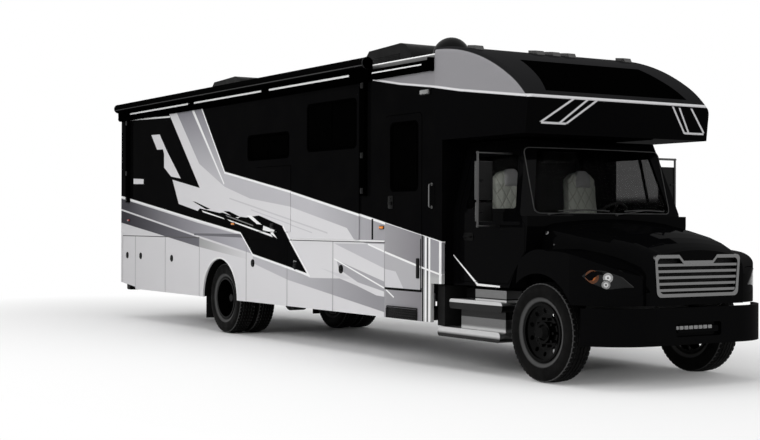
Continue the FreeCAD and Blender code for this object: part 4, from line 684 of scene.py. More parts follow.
def quilted_leather():
    """Cream leather stitched in small diamonds, with painted shade in the creases."""
    finish = Finish("quilted_leather", tone(222, 226, 214), 0.5)
    across = finish.times(finish.y, 26.0)
    along = finish.times(finish.math("ADD", finish.x, finish.z), 18.0)
    ridges = [finish.size(finish.math("SINE", finish.math(way, across, along)))
              for way in ("ADD", "SUBTRACT")]
    quilt = finish.math("POWER", finish.least(*ridges), 0.4)
    finish.bump(finish.math("ADD", quilt, finish.times(finish.noise(300.0), 0.06)), 0.012, 0.8)
    # Painted shade: the quilt's creases are darker.
    finish.tint(tone(150, 154, 142), quilt, 0.25, 0.6, 0.55, 0.0)
    finish.rough(0.4, 0.6, 18.0)
    return finish.done()


# Mesh building

def round_rect(a0, a1, b0, b1, radius, steps=6):
    """Outline of a rectangle with round corners."""
    points = []
    corners = [(a1 - radius, b1 - radius, 0), (a0 + radius, b1 - radius, 90),
               (a0 + radius, b0 + radius, 180), (a1 - radius, b0 + radius, 270)]
    for ca, cb, start in corners:
        for i in range(steps + 1):
            angle = math.radians(start + 90 * i / steps)
            points.append((ca + radius * math.cos(angle), cb + radius * math.sin(angle)))
    return points


def side_place(side, base):
    """Map (x, z, out) to a point that stands out from one side of the body."""
    return lambda x, z, out: Vector((x, side * (base + out), z))


def front_place(base):
    return lambda y, z, out: Vector((base + out, y, z))


def rear_place(base):
    return lambda y, z, out: Vector((base - out, y, z))


def top_place(base):
    return lambda x, y, out: Vector((x, y, base + out))


def circle(centre, side, up, radius, count):
    turns = [2 * math.pi * k / count for k in range(count)]
    return [centre + (side * math.cos(t) + up * math.sin(t)) * radius for t in turns]


def bend(points, radius, steps=5):
    """Path through points with its corners rounded."""
    points = [Vector(p) for p in points]
    path = [points[0]]
    for before, corner, after in zip(points, points[1:], points[2:]):
        start = corner + (before - corner).normalized() * radius
        end = corner + (after - corner).normalized() * radius
        for i in range(steps + 1):
            t = i / steps
            path.append(start * (1 - t) ** 2 + corner * 2 * t * (1 - t) + end * t ** 2)
    path.append(points[-1])
    return path


class Relief:
    """Mesh of one piece, built up on a face of the object that place describes."""

    def __init__(self, place=None):
        self.bm = bmesh.new()
        self.place = place

    def bridge(self, loops):
        """Skin between loops of equally many points; each loop is closed on itself."""
        rows = [[self.bm.verts.new(point) for point in loop] for loop in loops]
        count = len(rows[0])
        for first, second in zip(rows, rows[1:]):
            for i in range(count):
                j = (i + 1) % count
                self.bm.faces.new((first[i], first[j], second[j], second[i]))
        return rows

    def close(self, loops):
        """Skin between loops with a lid at both ends."""
        rows = self.bridge(loops)
        self.bm.faces.new(rows[0][::-1])
        self.bm.faces.new(rows[-1])

    def insets(self, box, radius, steps):
        """Loops of a rounded box, each (margin, out) further in and out."""
        a0, a1, b0, b1 = box
        loops = []
        for margin, out in steps:
            outline = round_rect(a0 + margin, a1 - margin, b0 + margin, b1 - margin,
                                 max(radius - margin, 0.001))
            loops.append([self.place(a, b, out) for a, b in outline])
        return loops

    def pad(self, box, radius, low, high, soften=0.002):
        """Rounded plate with a softened rim, from low to high above its base."""
        self.close(self.insets(box, radius, [(0.0, low), (0.0, high - soften),
                                             (soften * 0.3, high - soften * 0.3), (soften, high)]))

    def ring(self, box, radius, width, low, high, soften=0.002):
        """Frame round a window: a closed band with softened edges."""
        loops = self.insets(box, radius, [(0.0, low), (0.0, high - soften), (soften, high),
                                          (width - soften, high), (width, high - soften), (width, low)])
        self.bridge(loops + [loops[0]])

    def tube(self, path, radius, sides=10):
        """Round tube along a path of points, mitred at its corners."""
        path = [Vector(p) for p in path]
        loops = []
        side = None
        for i, point in enumerate(path):
            way = (path[min(i + 1, len(path) - 1)] - path[max(i - 1, 0)]).normalized()
            if side is None:
                side = way.orthogonal().normalized()
            side = (side - way * side.dot(way)).normalized()
            loops.append(circle(point, side, way.cross(side), radius, sides))
        self.close(loops)

    def lathe(self, profile, centre, axis, turns=18):
        """Turn (along, radius) points about an axis through centre."""
        axis = Vector(axis).normalized()
        side = axis.orthogonal().normalized()
        self.bridge([circle(Vector(centre) + axis * along, side, axis.cross(side), radius, turns)
                     for along, radius in profile])

    def done(self, name, material="trim", body="coach", slot="black_plastic", sharp=35.0):
        """Turn the mesh into a finished piece that rides on a body."""
        bmesh.ops.remove_doubles(self.bm, verts=self.bm.verts, dist=1e-6)
        bmesh.ops.recalc_face_normals(self.bm, faces=self.bm.faces)
        mesh = bpy.data.meshes.new(name)
        self.bm.to_mesh(mesh)
        self.bm.free()
        mesh.materials.append(MATERIALS[material])
        mesh.shade_smooth()
        mesh.set_sharp_from_angle(angle=math.radians(sharp))
        made = link(name, mesh)
        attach(made, body)
        return made


# Camera, floor and light

FLOOR_SIZE = 140.0
CAMERA_PLACE = (16.125, -9.973, 1.634)
CAMERA_TURN = math.radians(57.987)
CAMERA_PITCH = math.radians(0.11)
CAMERA_ROLL = math.radians(0.185)
CAMERA_LENS = 64.87
SENSOR_WIDTH = 36.0


def set_camera():
    """Camera at the photograph's viewing angle."""
    data = bpy.data.cameras.new("camera")
    data.lens = CAMERA_LENS
    data.sensor_width = SENSOR_WIDTH
    data.sensor_fit = "HORIZONTAL"
    data.clip_end = 400.0
    camera = link("camera", data)
    camera.matrix_world = (Matrix.Translation(CAMERA_PLACE) @ Matrix.Rotation(CAMERA_TURN, 4, "Z")
                           @ Matrix.Rotation(math.pi / 2 + CAMERA_PITCH, 4, "X")
                           @ Matrix.Rotation(CAMERA_ROLL, 4, "Z"))
    bpy.context.scene.camera = camera


def add_light(name, place, aim, size, power, glints=False):
    data = bpy.data.lights.new(name, "AREA")
    data.shape = "RECTANGLE"
    data.size, data.size_y = size
    data.energy = power
    light = link(name, data)
    light.location = place
    light.rotation_euler = (Vector(aim) - Vector(place)).to_track_quat("-Z", "Y").to_euler()
    light.visible_glossy = glints


def see_through_share(tree):
    """1 for camera, glossy and transmission rays, else 0."""
    rays = tree.nodes.new("ShaderNodeLightPath")
    share = rays.outputs["Is Camera Ray"]
    for kind in ("Glossy", "Transmission"):
        larger = tree.nodes.new("ShaderNodeMath")
        larger.operation = "MAXIMUM"
        tree.links.new(share, larger.inputs[0])
        tree.links.new(rays.outputs["Is %s Ray" % kind], larger.inputs[1])
        share = larger.outputs[0]
    return share


def set_world():
    """White surroundings for what the camera and mirrors see, softer for lighting."""
    world = bpy.data.worlds.new("studio")
    bpy.context.scene.world = world
    world.use_nodes = True
    tree = world.node_tree
    background = tree.nodes["Background"]
    background.inputs["Color"].default_value = (1.0, 1.0, 1.0, 1.0)
    strength = tree.nodes.new("ShaderNodeMapRange")
    tree.links.new(see_through_share(tree), strength.inputs[0])
    strength.inputs[3].default_value = 0.3
    strength.inputs[4].default_value = 1.0
    tree.links.new(strength.outputs[0], background.inputs["Strength"])


def make_floor():
    """Pale floor that takes the shadow and fades to white away from the object."""
    bm = bmesh.new()
    bmesh.ops.create_grid(bm, x_segments=2, y_segments=2, size=FLOOR_SIZE)
    mesh = bpy.data.meshes.new("floor")
    bm.to_mesh(mesh)
    bm.free()
    floor = link("floor", mesh)
    finish = Finish("floor_white", tone(247), 0.9)
    radius = finish.node("ShaderNodeVectorMath", operation="LENGTH")
    squeeze = finish.node("ShaderNodeMapping")
    finish.feed(squeeze.inputs["Scale"], (0.5, 1.0, 0.0))
    finish.feed(squeeze.inputs["Vector"], finish.place)
    finish.feed(radius.inputs[0], squeeze.outputs[0])
    far = finish.ramp(radius.outputs["Value"], 2.2, 6.5)
    blend = finish.node("ShaderNodeMixShader")
    finish.feed(blend.inputs[0], finish.times(far, see_through_share(finish.tree)))
    finish.feed(blend.inputs[1], finish.shader.outputs[0])
    finish.feed(blend.inputs[2], finish.node("ShaderNodeEmission").outputs[0])
    finish.feed(finish.tree.nodes["Material Output"].inputs["Surface"], blend.outputs[0])
    mesh.materials.append(finish.done())


def set_stage():
    bpy.context.scene.view_settings.view_transform = "Standard"
    set_camera()
    set_world()
    make_floor()
    add_light("sky_panel", (1.0, -2.0, 13.0), (0.0, 0.0, 0.0), (16.0, 10.0), 980.0)
    add_light("side_panel", (4.0, -14.0, 7.5), (0.0, 0.0, 1.6), (14.0, 6.0), 960.0)
    add_light("front_panel", (15.0, 3.0, 6.0), (5.0, 0.0, 1.4), (6.0, 6.0), 260.0, True)


# Tyres

TYRE_RADIUS = 0.515
TYRE_HALF = 0.1395
BEAD_HALF = 0.1047
BEAD_RADIUS = 0.2863
TREAD_DEPTH = 0.013
ZIGZAG = 0.0045
NOTCH_DEPTH = 0.009
TEETH = 56
GROOVE_PLACES = (0.066, 0.022, -0.022, -0.066)


def tyre_profile():
    """(across, radius, notch share, zigzag share) points from bead to bead."""
    half = TYRE_HALF
    flank = [(BEAD_HALF, BEAD_RADIUS, 0, 0), (BEAD_HALF, BEAD_RADIUS + 0.015, 0, 0), (0.118, 0.335, 0, 0),
             (0.126, 0.352, 0, 0), (0.1295, 0.356, 0, 0), (0.1305, 0.362, 0, 0), (0.1345, 0.385, 0, 0),
             (half, 0.431, 0, 0), (half - 0.002, 0.452, 0, 0), (half - 0.0035, 0.456, 0, 0),
             (half - 0.005, 0.47, 0, 0), (half - 0.01, 0.481, 0.5, 0), (half - 0.022, 0.5045, 1, 0),
             (half - 0.032, 0.5085, 1, 0)]
    tread = []
    for centre in GROOVE_PLACES:
        for step, drop in ((0.0055, 0.0), (0.004, TREAD_DEPTH), (-0.004, TREAD_DEPTH), (-0.0055, 0.0)):
            across = centre + step
            tread.append((across, TYRE_RADIUS - 0.01 * (abs(across) / 0.1) ** 2 - drop, 0, 1))
    return flank + tread + [(-point[0],) + point[1:] for point in flank[::-1]]


def tyre(name, x, y, body, node):
    """Tyre with zigzag grooves and shoulder notches cut in its tread."""
    mesh = Relief()
    steps = TEETH * 4
    loops = []
    for k in range(steps):
        angle = 2 * math.pi * k / steps
        shift = ZIGZAG * (1, 0, -1, 0)[k % 4]
        notch = 0.0 if k % 4 else NOTCH_DEPTH
        loop = []
        for across, radius, cut, swing in tyre_profile():
            radius -= notch * cut
            loop.append(Vector((x + radius * math.cos(angle), y + across + shift * swing,
                                WHEEL_Z + radius * math.sin(angle))))
        loops.append(loop)
    mesh.bridge(loops + [loops[0]])
    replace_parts(mesh.done(name, "rubber", body, "tyre", 28.0), node)


def dress_tyres():
    for name, side in SIDES:
        tyre("treaded_front_tyre_" + name, ax(0), side * 1.03, "front_wheel_" + name, "front_tyre_" + name)
        for kind, y in (("outer", 1.07), ("inner", 0.752)):
            tyre("treaded_%s_tyre_%s" % (kind, name), REAR_AXLE_X, side * y, "rear_wheels_" + name,
                 "rear_tyres_" + name)


# Side windows, doors and their fittings

WINDOWS_RIGHT = [("house_window", "coach", (-1.288, -0.098, 2.52, 2.835), BODY_HALF),
                 ("slide_window", "slide_out", (0.482, 1.687, 2.57, 3.15), BODY_HALF + 0.02),
                 ("entry_window", "entry_door", (2.482, 3.032, 2.02, 2.79), DOOR_HALF)]
WINDOWS_LEFT = [(-5.168, -4.068, 2.4, 2.95), (-3.168, -2.268, 2.52, 2.835),
                (-1.168, 0.432, 2.25, 2.95), (2.132, 2.932, 2.4, 2.95)]
FRAME_LAP = 0.022
FRAME_OUT = 0.006


def window_frame(name, body, window, side, face, bar=True):
    """Black frame round a pane, with a divider where the pane slides."""
    mesh = Relief(side_place(side, face))
    a0, a1, b0, b1 = window
    mesh.ring((a0 - FRAME_LAP, a1 + FRAME_LAP, b0 - FRAME_LAP, b1 + FRAME_LAP), 0.05 + FRAME_LAP,
              FRAME_LAP + 0.012, LIFT, FRAME_OUT)
    if bar:
        middle = (a0 + a1) / 2
        mesh.pad((middle - 0.013, middle + 0.013, b0 + 0.004, b1 - 0.004), 0.002, -0.0115, -0.004)
    mesh.done(name, "jet_trim", body)


def dress_windows():
    for name, body, window, face in WINDOWS_RIGHT:
        window_frame(name + "_frame", body, window, RIGHT, face, name != "entry_window")
    for i, window in enumerate(WINDOWS_LEFT):
        window_frame("left_window_frame_%d" % (i + 1), "coach", window, LEFT, BODY_HALF)
    rear = Relief(rear_place(TAIL_X))
    rear.ring((-0.642, 0.642, 2.328, 2.972), 0.08, 0.034, LIFT, FRAME_OUT)
    rear.done("rear_window_frame", "jet_trim")


LATCHES = [("storage_door_right_1", -5.85, 1.07, RIGHT), ("storage_door_right_2", -5.26, 1.07, RIGHT),
           ("storage_door_right_3", -3.98, 1.06, RIGHT), ("storage_door_right_4", -1.14, 1.06, RIGHT),
           ("storage_door_right_5", 0.1, 1.06, RIGHT), ("storage_door_right_6", 1.31, 1.05, RIGHT),
           ("storage_door_left_1", -5.26, 1.07, LEFT), ("storage_door_left_2", 1.31, 1.05, LEFT)]


def paddle_latch(body, x, z, side):
    """Round-cornered latch plate with its lifted paddle and lock."""
    mesh = Relief(side_place(side, BODY_HALF))
    mesh.pad(around(x, z, 0.052, 0.054), 0.046, LIFT, 0.005)
    mesh.ring(around(x, z, 0.046, 0.048), 0.04, 0.006, 0.004, 0.009)
    mesh.pad((x - 0.038, x + 0.038, z - 0.028, z + 0.012), 0.008, 0.005, 0.014, 0.003)
    mesh.lathe([(0.005, 0.0005), (0.005, 0.009), (0.01, 0.009), (0.011, 0.008), (0.011, 0.0005)],
               mesh.place(x, z + 0.025, 0.0), (0, side, 0))
    mesh.done(body + "_latch", body=body)


def grab_bar():
    """Bent grab bar between two round feet, in front of the entry door."""
    mesh = Relief(side_place(RIGHT, BODY_HALF))
    reach = 0.04
    radius = 0.008
    ends = ((3.33, 1.81), (3.33, 2.07))
    first, last = ends
    corners = [mesh.place(*first, 0.0), mesh.place(*first, reach), mesh.place(*last, reach),
               mesh.place(*last, 0.0)]
    mesh.tube(bend(corners, reach * 0.55), radius, 12)
    for foot in ends:
        mesh.lathe([(LIFT, 0.0005), (LIFT, radius * 2.1), (0.005, radius * 2.0), (0.007, radius)],
                   mesh.place(*foot, 0.0), (0, RIGHT, 0))
    mesh.done("entry_grab", "steel", "coach", "bright_metal")


def dress_doors():
    for body, x, z, side in LATCHES:
        paddle_latch(body, x, z, side)
    lock = Relief(side_place(RIGHT, DOOR_HALF))
    lock.pad((2.42, 2.53, 1.8, 1.95), 0.018, LIFT, 0.008, 0.003)
    lock.pad((2.44, 2.51, 1.845, 1.885), 0.01, 0.008, 0.024, 0.004)
    lock.lathe([(0.008, 0.0005), (0.008, 0.01), (0.013, 0.01), (0.013, 0.0005)],
               lock.place(2.475, 1.922, 0.0), (0, RIGHT, 0))
    lock.done("entry_lock", body="entry_door")
    latch = Relief(side_place(RIGHT, DOOR_HALF))
    latch.pad((-0.6, -0.5, 1.545, 1.62), 0.014, LIFT, 0.008)
    latch.pad((-0.59, -0.51, 1.56, 1.595), 0.008, 0.008, 0.017, 0.003)
    latch.done("hatch_latch", body="hatch")
    grab_bar()


# Trim along the body

def marker(name, x, z, side, material):
    """Small marker lamp with its black foot."""
    foot = Relief(side_place(side, BODY_HALF))
    foot.pad(around(x, z, 0.055, 0.021), 0.008, LIFT, 0.007)
    foot.done(name + "_foot")
    lamp = Relief(side_place(side, BODY_HALF))
    lamp.pad(around(x, z, 0.044, 0.014), 0.006, 0.007, 0.019, 0.005)
    lamp.done(name, material, "coach", "lamp_plastic")


def porch_lamp():
    """Flat lamp on its foot over the entry door."""
    foot = Relief(side_place(RIGHT, BODY_HALF))
    foot.pad((3.1, 3.3, 3.085, 3.155), 0.016, LIFT, 0.012)
    foot.done("porch_lamp_foot")
    lamp = Relief(side_place(RIGHT, BODY_HALF))
    lamp.pad((3.115, 3.285, 3.095, 3.145), 0.012, 0.012, 0.032, 0.009)
    lamp.done("porch_lamp", "bar_lens", "coach", "lamp_plastic")


def entry_vent():
    """Louvred box under the entry and the latch cover at the door's edge."""
    vent = Relief(side_place(RIGHT, BODY_HALF + 0.0103))
    vent.ring((2.4, 3.05, 0.512, 0.655), 0.006, 0.012, -0.001, 0.007)
    for i in range(4):
        z = 0.532 + 0.029 * i
        vent.pad((2.412, 3.038, z, z + 0.016), 0.003, -0.001, 0.004)
    vent.done("entry_vent")
    cover = Relief(side_place(RIGHT, DOOR_HALF))
    cover.pad((3.03, 3.088, 0.996, 1.227), 0.012, LIFT, 0.012)
    cover.done("entry_latch_cover", body="entry_door")


def arch_trim(name, side):
    """Thin lip that follows the rear wheel opening."""
    mesh = Relief(side_place(side, BODY_HALF))
    steps = 40
    profile = [(0.58, LIFT), (0.58, 0.004), (0.584, 0.006), (0.6, 0.006), (0.604, 0.003),
               (0.604, LIFT)]
    angles = [math.pi * i / steps for i in range(steps + 1)]
    mesh.close([[mesh.place(REAR_AXLE_X + r * math.cos(t), WHEEL_Z + r * math.sin(t), out)
                 for r, out in profile] for t in angles])
    mesh.done("arch_trim_" + name, "white", "coach", "rubber")


def dress_sides():
    for name, side in SIDES:
        marker("rear_marker_" + name, -5.79, 1.66, side, "red_lens")
        marker("middle_marker_" + name, -1.77, 1.61, side, "amber_lens")
    marker("front_marker_right", 2.27, 1.576, RIGHT, "amber_lens")
    porch_lamp()
    belt = Relief(side_place(RIGHT, BODY_HALF))
    belt.pad((0.02, 2.335, 1.4015, 1.422), 0.004, LIFT, 0.007, 0.0028)
    belt.done("belt_moulding", "white", "coach", "body_paint")
    entry_vent()
    for name, side in SIDES:
        arch_trim(name, side)


# Awning and roof equipment

AWNING_FACE = 1.3585
ARM_FACE = 1.3353
ROLL_CENTRE = (1.358, 3.56)
UNIT_HALF = 0.35


def dress_awning():
    """Lamp strips, end caps and arm joints, and the short awning over the entry door."""
    strips = Relief(side_place(RIGHT, AWNING_FACE))
    for start, end in ((-5.56, -3.21), (-2.985, -0.756), (-0.52, 1.615)):
        strips.pad((start, end, 3.427, 3.453), 0.004, -0.004, 0.004)
    strips.place = side_place(RIGHT, BODY_HALF)
    strips.pad((2.13, 3.2, 3.42, 3.436), 0.004, 0.06, 0.064)
    strips.done("awning_light_strip", "clear_lens", "coach", "lamp_plastic")
    fittings = Relief(side_place(RIGHT, ARM_FACE))
    for x, way in ((-6.118, 1), (2.052, -1)):
        fittings.lathe([(0.0, 0.0005), (0.0, 0.074), (0.022, 0.074), (0.026, 0.07)],
                       (x, RIGHT * ROLL_CENTRE[0], ROLL_CENTRE[1]), (way, 0, 0), 32)
    for x in (-5.778, 1.892):
        for z in (2.02, 2.45, 3.3):
            fittings.pad(around(x, z, 0.032, 0.035), 0.01, LIFT, 0.01, 0.003)
    fittings.done("awning_fittings", slot="awning_case")
    awning = Relief(side_place(RIGHT, BODY_HALF))
    awning.pad((2.1, 3.325, 3.352, 3.475), 0.02, LIFT, 0.06, 0.012)
    awning.pad((3.325, 3.372, 3.345, 3.5), 0.012, LIFT, 0.072, 0.006)
    awning.done("door_awning", "jet_trim", "coach", "awning_case")


def dress_roof():
    """Louvres in the sides of both air conditioners."""
    for i, centre in enumerate((ax(-4.23), ax(-9.1))):
        louvres = Relief()
        for side in (RIGHT, LEFT):
            louvres.place = side_place(side, UNIT_HALF)
            for k in range(7):
                z = 3.69 + 0.022 * k
                louvres.pad((centre - 0.36, centre + 0.3, z, z + 0.011), 0.003, LIFT, 0.006)
        louvres.done("roof_unit_louvres_%d" % (i + 1))


# Cab fittings

WIPER_PIVOT_Z = 1.724
WIPER_ARM_Z = 1.728
WIPER_BLADE_Z = 1.765
WIPER_SAG = 0.012
WIPER_STEPS = 10
BEAD_HALF_WIDTH = 0.962
BEAD_LOW = 1.739
BEAD_HIGH = 2.442
BEAD_STEP = 0.1


def surface_x(y, z):
    """Windshield's face along X at a height, following its bow and rake."""
    rise = z - 1.71
    bow = 0.11 * (y / 1.14) ** 2
    return ax(-0.265) - bow - 0.215 * rise / 0.75


def wipers():
    """Two wipers: blade, arm and pivot."""
    mesh = Relief()
    for pivot, tip in ((-0.8, -0.06), (0.1, 0.8)):
        blade = []
        arm = []
        for i in range(WIPER_STEPS + 1):
            share = i / WIPER_STEPS
            y = pivot + 0.12 + (tip - pivot - 0.06) * share
            z = WIPER_BLADE_Z + WIPER_SAG * math.sin(math.pi * share)
            blade.append((surface_x(y, z) + 0.008, y, z))
            y = pivot + (tip - pivot) * 0.62 * share
            z = WIPER_ARM_Z + (WIPER_BLADE_Z + WIPER_SAG - WIPER_ARM_Z) * share
            lift = 0.022 * math.sin(math.pi * (i + 1) / (WIPER_STEPS + 2)) + 0.008
            arm.append((surface_x(y, z) + lift, y, z))
        mesh.tube(blade, 0.0065, 8)
        mesh.tube(arm, 0.0055, 8)
        mesh.lathe([(-0.004, 0.0005), (-0.004, 0.016), (0.014, 0.013), (0.018, 0.006)],
                   (surface_x(pivot, WIPER_PIVOT_Z), pivot, WIPER_PIVOT_Z), (1, 0, 0.28), 16)
    mesh.done("wipers", "gasket")


def windshield_bead():
    """Rubber bead that follows the windshield's edge."""
    half = BEAD_HALF_WIDTH
    corners = [(0.0, BEAD_LOW), (half, BEAD_LOW), (half, BEAD_HIGH), (-half, BEAD_HIGH), (-half, BEAD_LOW),
               (0.0, BEAD_LOW)]
    turns = bend([(0.0, y, z) for y, z in corners], 0.075, 6)
    loop = []
    for a, b in zip(turns, turns[1:]):
        parts = max(1, round((b - a).length / BEAD_STEP))
        loop += [a.lerp(b, i / parts) for i in range(parts)]
    loop.append(loop[0])
    mesh = Relief()
    mesh.tube([(surface_x(p.y, p.z) + 0.002, p.y, p.z) for p in loop], 0.006, 8)
    mesh.done("windshield_bead", "gasket")


def dress_windshield():
    wipers()
    windshield_bead()


def dress_cab():
    """Door handles and mirror glass."""
    for name, side in SIDES:
        handle = Relief(side_place(side, CAB_HALF))
        handle.pad((3.735, 3.915, 1.44, 1.525), 0.02, LIFT, 0.006)
        grip = [handle.place(x, 1.482, out) for x, out in ((3.76, 0.004), (3.765, 0.03), (3.885, 0.03),
                                                           (3.89, 0.004))]
        handle.tube(bend(grip, 0.014), 0.01, 12)
        handle.done("cab_handle_" + name, body="cab_door_" + name)
        low, high = sorted((side * 1.222, side * 1.408))
        face = Relief()
        for x, bottom, top in ((ax(-0.812), 1.895, 2.275), (ax(-0.802), 1.665, 1.835)):
            face.place = rear_place(x)
            face.pad((low, high, bottom, top), 0.02, -0.001, 0.0015, 0.001)
        face.done("mirror_face_" + name, "mirror_glass", "cab_door_" + name, "bright_metal")


# Lamps and fittings at the front

COVER_OUTLINE = [(5.772, 1.159, 1.116), (5.844, 1.119, 1.177), (5.959, 1.027, 1.169),
                 (6.055, 0.893, 1.112), (6.108, 0.772, 1.004), (6.069, 0.867, 1.004),
                 (5.976, 1.002, 0.984), (5.842, 1.116, 1.049)]
COVER_RISE = ((1.0, 0.0006), (0.985, 0.004), (0.93, 0.0055), (0.75, 0.006), (0.5, 0.006), (0.25, 0.006))


def on_skin(point, lift):
    """Nearest place on the hood or its lamps, lifted off along the surface."""
    best = None
    for name in ("hood", "headlights"):
        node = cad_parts[name]
        turn = node.matrix_world
        found, near, normal, _ = node.closest_point_on_mesh(turn.inverted() @ point)
        near = turn @ near
        away = (near - point).length
        if found and (best is None or away < best[0]):
            best = (away, near + (turn.to_3x3() @ normal).normalized() * lift)
    return best[1]


def headlight_cover(name, side):
    """Curved lamp cover that follows the fender, rounded behind and pointed in front."""
    outline = bend([(x, side * y, z) for x, y, z in COVER_OUTLINE + COVER_OUTLINE[:1]], 0.018, 3)[:-1]
    centre = sum(outline, Vector()) / len(outline)
    mesh = Relief()
    rows = mesh.bridge([[on_skin(centre.lerp(point, share), lift) for point in outline]
                        for share, lift in COVER_RISE])
    mesh.bm.faces.new(rows[-1])
    mesh.done("headlight_cover_" + name, "headlight_glass", "hood", "lamp_plastic", 60.0)


def hood_studs(name, side):
    """Cowl marker and vent stud, turned on the hood's surface."""
    mesh = Relief()
    for x, y, z, radius, height in ((4.905, 0.898, 1.531, 0.024, 0.012), (5.021, 0.898, 1.407, 0.012, 0.01)):
        point = Vector((x, side * y, z))
        base = on_skin(point, 0.0)
        mesh.lathe([(LIFT, 0.0005), (LIFT, radius), (height * 0.6, radius * 0.9), (height, radius * 0.5)],
                   base, on_skin(point, 1.0) - base, 24)
    mesh.done("hood_studs_" + name, "steel", "hood", "bright_metal")


def dress_lamps():
    """Light bar in the bumper recess, screen behind the grille, lamp covers and hood studs."""
    bar = Relief(front_place(ax(1.058)))
    for i in range(9):
        bar.pad(around(-0.362 + i * 0.065, 0.6, 0.026, 0.018), 0.006, LIFT, 0.004)
    bar.done("light_bar_lamps", "bar_lens", "coach", "lamp_plastic")
    screen = Relief(front_place(6.128))
    screen.pad((-0.556, 0.556, 0.928, 1.318), 0.05, 0.0, 0.006)
    screen.done("grille_mesh", "mesh", "hood")
    for name, side in SIDES:
        headlight_cover(name, side)
        hood_studs(name, side)


# Seats

SEAT_X = ax(-1.15)
SEAT_Z = 1.0803
SEAT_SIDES = (-0.52, 0.52)
VOXEL = 0.012
SWELL_FRAMES = 20
# Name, back and front, bottom and top from the seat's foot, half width, lean, crown, swell, material
SEAT_PARTS = [("cushion", -0.235, 0.265, 0.27, 0.372, 0.238, 0.0, 0.0, 0.018, "leather"),
              ("back", -0.235, -0.135, 0.385, 1.165, 0.232, 0.062, 0.09, 0.018, "leather"),
              ("headrest", -0.232, -0.152, 0.965, 1.168, 0.112, 0.02, 0.06, 0.012, "plain_leather")]


def seat_block(name, x0, x1, z0, z1, half, lean, crown):
    """Soft block for a cushion; lean pushes its top back and crown rounds it off."""
    bm = bmesh.new()
    bmesh.ops.create_cube(bm, size=1.0)
    bmesh.ops.subdivide_edges(bm, edges=bm.edges, cuts=5, use_grid_fill=True)
    for vert in bm.verts:
        u, v, w = (c + 0.5 for c in vert.co)
        side = v * 2 - 1
        drop = crown * abs(side) ** 3 * w
        vert.co = Vector((x0 + (x1 - x0) * u - lean * w, side * half * (1.0 - crown * w ** 3),
                          z0 + (z1 - z0) * w - drop))
    mesh = bpy.data.meshes.new(name)
    bm.to_mesh(mesh)
    bm.free()
    return link(name, mesh)


def settle(block):
    """Replace a block's mesh by what its modifiers make of it."""
    graph = bpy.context.evaluated_depsgraph_get()
    mesh = bpy.data.meshes.new_from_object(block.evaluated_get(graph))
    block.modifiers.clear()
    block.data = mesh
    return mesh


def inflate(block, reach):
    """Swell a block with cloth pressure, moving no point further than reach."""
    scene = bpy.context.scene
    remesh = block.modifiers.new("remesh", "REMESH")
    remesh.mode = "VOXEL"
    remesh.voxel_size = VOXEL
    remesh.use_smooth_shade = True
    mesh = settle(block)
    start = [v.co.copy() for v in mesh.vertices]
    cloth = block.modifiers.new("cloth", "CLOTH")
    cloth.settings.use_pressure = True
    cloth.settings.uniform_pressure_force = 4.0
    cloth.settings.effector_weights.gravity = 0.0
    cloth.settings.quality = 5
    for number in range(SWELL_FRAMES):
        scene.frame_set(number + 1)
    for vert, origin in zip(settle(block).vertices, start):
        move = vert.co - origin
        if move.length > reach:
            vert.co = origin + move * (reach / move.length)
    scene.frame_set(1)


def pad_piece(name, source, y, material):
    """Finished cushion on the coach, from a swollen block."""
    mesh = source.data.copy()
    mesh.transform(Matrix.Translation((0.0, y, 0.0)))
    mesh.materials.clear()
    mesh.materials.append(MATERIALS[material])
    mesh.shade_smooth()
    cushion = link(name, mesh)
    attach(cushion, "coach")
    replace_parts(cushion, "seats")


def dress_seats():
    """Padded cushions, backs and headrests on dark pedestals."""
    blocks = [seat_block(name, SEAT_X + x0, SEAT_X + x1, SEAT_Z + z0, SEAT_Z + z1, half, lean, crown)
              for name, x0, x1, z0, z1, half, lean, crown, reach, material in SEAT_PARTS]
    for block, part in zip(blocks, SEAT_PARTS):
        inflate(block, part[-2])
        for i, y in enumerate(SEAT_SIDES):
            pad_piece("seat_%s_%d" % (part[0], i + 1), block, y, part[-1])
        bpy.data.objects.remove(block)
    base = Relief(top_place(SEAT_Z))
    for y in SEAT_SIDES:
        base.pad(around(SEAT_X, y, 0.195, 0.175), 0.03, 0.0, 0.262, 0.02)
    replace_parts(base.done("seat_pedestals", "dark_plastic"), "seats")


# Materials of the pieces and of the frame's own nodes

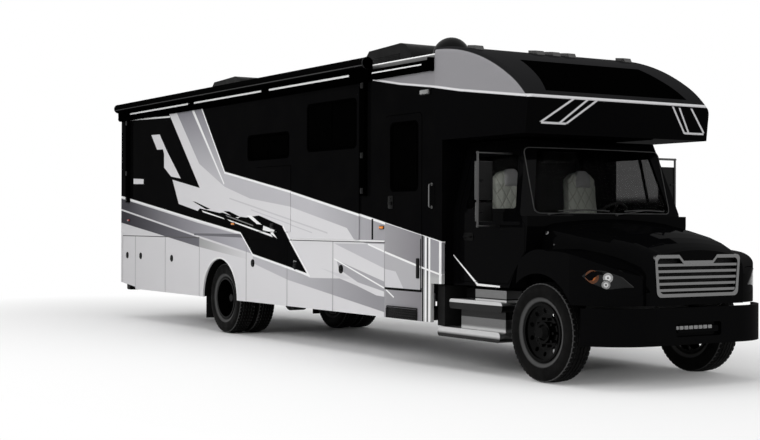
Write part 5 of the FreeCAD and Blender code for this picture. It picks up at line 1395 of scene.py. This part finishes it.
def make_materials():
    return {
        "coach": coach_paint(),
        "cap": cap_paint(),
        "cab": cab_paint(),
        "black": black_enamel(),
        "white": plain_white(),
        "roof": roof_paint(),
        "trim": moulded("black_trim", 8, 0.45, 420.0, 0.06),
        "jet_trim": moulded("jet_trim", 1, 0.45, 420.0, 0.0),
        "dark_plastic": moulded("dark_plastic", 18, 0.6),
        "dash": moulded("dash_plastic", 30, 0.65),
        "wheel": wheel_black(),
        "chassis": chassis_coat(),
        "rubber": rubber(),
        "mudflap": moulded("mudflap_rubber", 14, 0.75, 160.0),
        "grille": grille_finish(),
        "steel": bright_metal("mirror_tube", 120, 0.38),
        "aluminium": step_aluminium(),
        "mirror": mirror_finish(),
        "headlight_glass": headlight_glass(),
        "mesh": mesh_screen(),
        "bar_lens": lens("bar_lens", tone(120), 0.95),
        "awning": awning_black(),
        "mirror_glass": bright_metal("mirror_glass", 230, 0.03),
        "house_glass": glass("house_glass", 2, 0.97, 0.05, 0.0),
        "cab_glass": glass("cab_glass", 4, 0.22, 0.02, 0.03),
        "far_glass": far_door_glass(),
        "clear_lens": lens("clear_lens", tone(232), 0.9),
        "red_lens": lens("red_lens", tone(150, 20, 18), 0.95),
        "end_lamps": lens("end_lamps", tone(140, 18, 16), 0.97, tone(14, 11, 9)),
        "amber_lens": lens("amber_lens", tone(228, 130, 22), 0.95),
        "leather": quilted_leather(),
        "plain_leather": moulded("plain_leather", 176, 0.6, 300.0, 0.1),
        "gasket": moulded("gasket_grey", 52, 0.5, 300.0, 0.2),
    }


def both(*names):
    """Node names of the right and left part of each kind."""
    return [name + "_" + side for name in names for side, _ in SIDES]


NODE_FINISH = {
    "coach": ["rear_wall", "lower_body", "entry_door", "hatch", "slide_out", "right_wall", "left_wall"]
             + ["storage_door_right_%d" % i for i in range(1, 7)]
             + ["storage_door_left_%d" % i for i in range(1, 3)],
    "cap": ["overhead_cap"],
    "cab": ["cab_shell"] + both("cab_door"),
    "black": ["hood", "bumper", "headlights"],
    "roof": ["roof"],
    "trim": ["roof_units", "rear_bumper"],
    "awning": ["awning"],
    "dark_plastic": ["step_boxes", "seats"],
    "dash": ["dashboard"],
    "wheel": both("front_wheel", "rear_wheels"),
    "chassis": ["frame", "front_axle", "rear_axle", "powertrain"] + both("knuckle"),
    "rubber": both("front_tyre", "rear_tyres"),
    "mudflap": ["mudflaps"],
    "grille": ["grille"],
    "mirror": both("mirror"),
    "aluminium": ["cab_steps"],
    "house_glass": ["house_glass", "entry_glass", "slide_glass"],
    "cab_glass": ["cab_glass", "cab_door_glass_right"],
    "far_glass": ["cab_door_glass_left"],
    "end_lamps": ["lamps"],
}


def finish_nodes(nodes):
    """Give every frame node its procedural material."""
    for finish, names in NODE_FINISH.items():
        for name in names:
            slots = nodes[name].data.materials
            slots.clear()
            slots.append(MATERIALS[finish])


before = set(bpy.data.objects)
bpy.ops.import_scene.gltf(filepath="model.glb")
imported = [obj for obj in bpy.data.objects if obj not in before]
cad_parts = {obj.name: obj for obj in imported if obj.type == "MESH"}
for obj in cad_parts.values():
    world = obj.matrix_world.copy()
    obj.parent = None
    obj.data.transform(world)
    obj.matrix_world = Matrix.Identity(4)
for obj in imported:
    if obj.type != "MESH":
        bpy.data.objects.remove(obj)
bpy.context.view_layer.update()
MATERIALS = make_materials()
set_stage()
finish_nodes(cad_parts)
dress_tyres()
dress_windows()
dress_doors()
dress_sides()
dress_awning()
dress_roof()
dress_windshield()
dress_cab()
dress_lamps()
dress_seats()
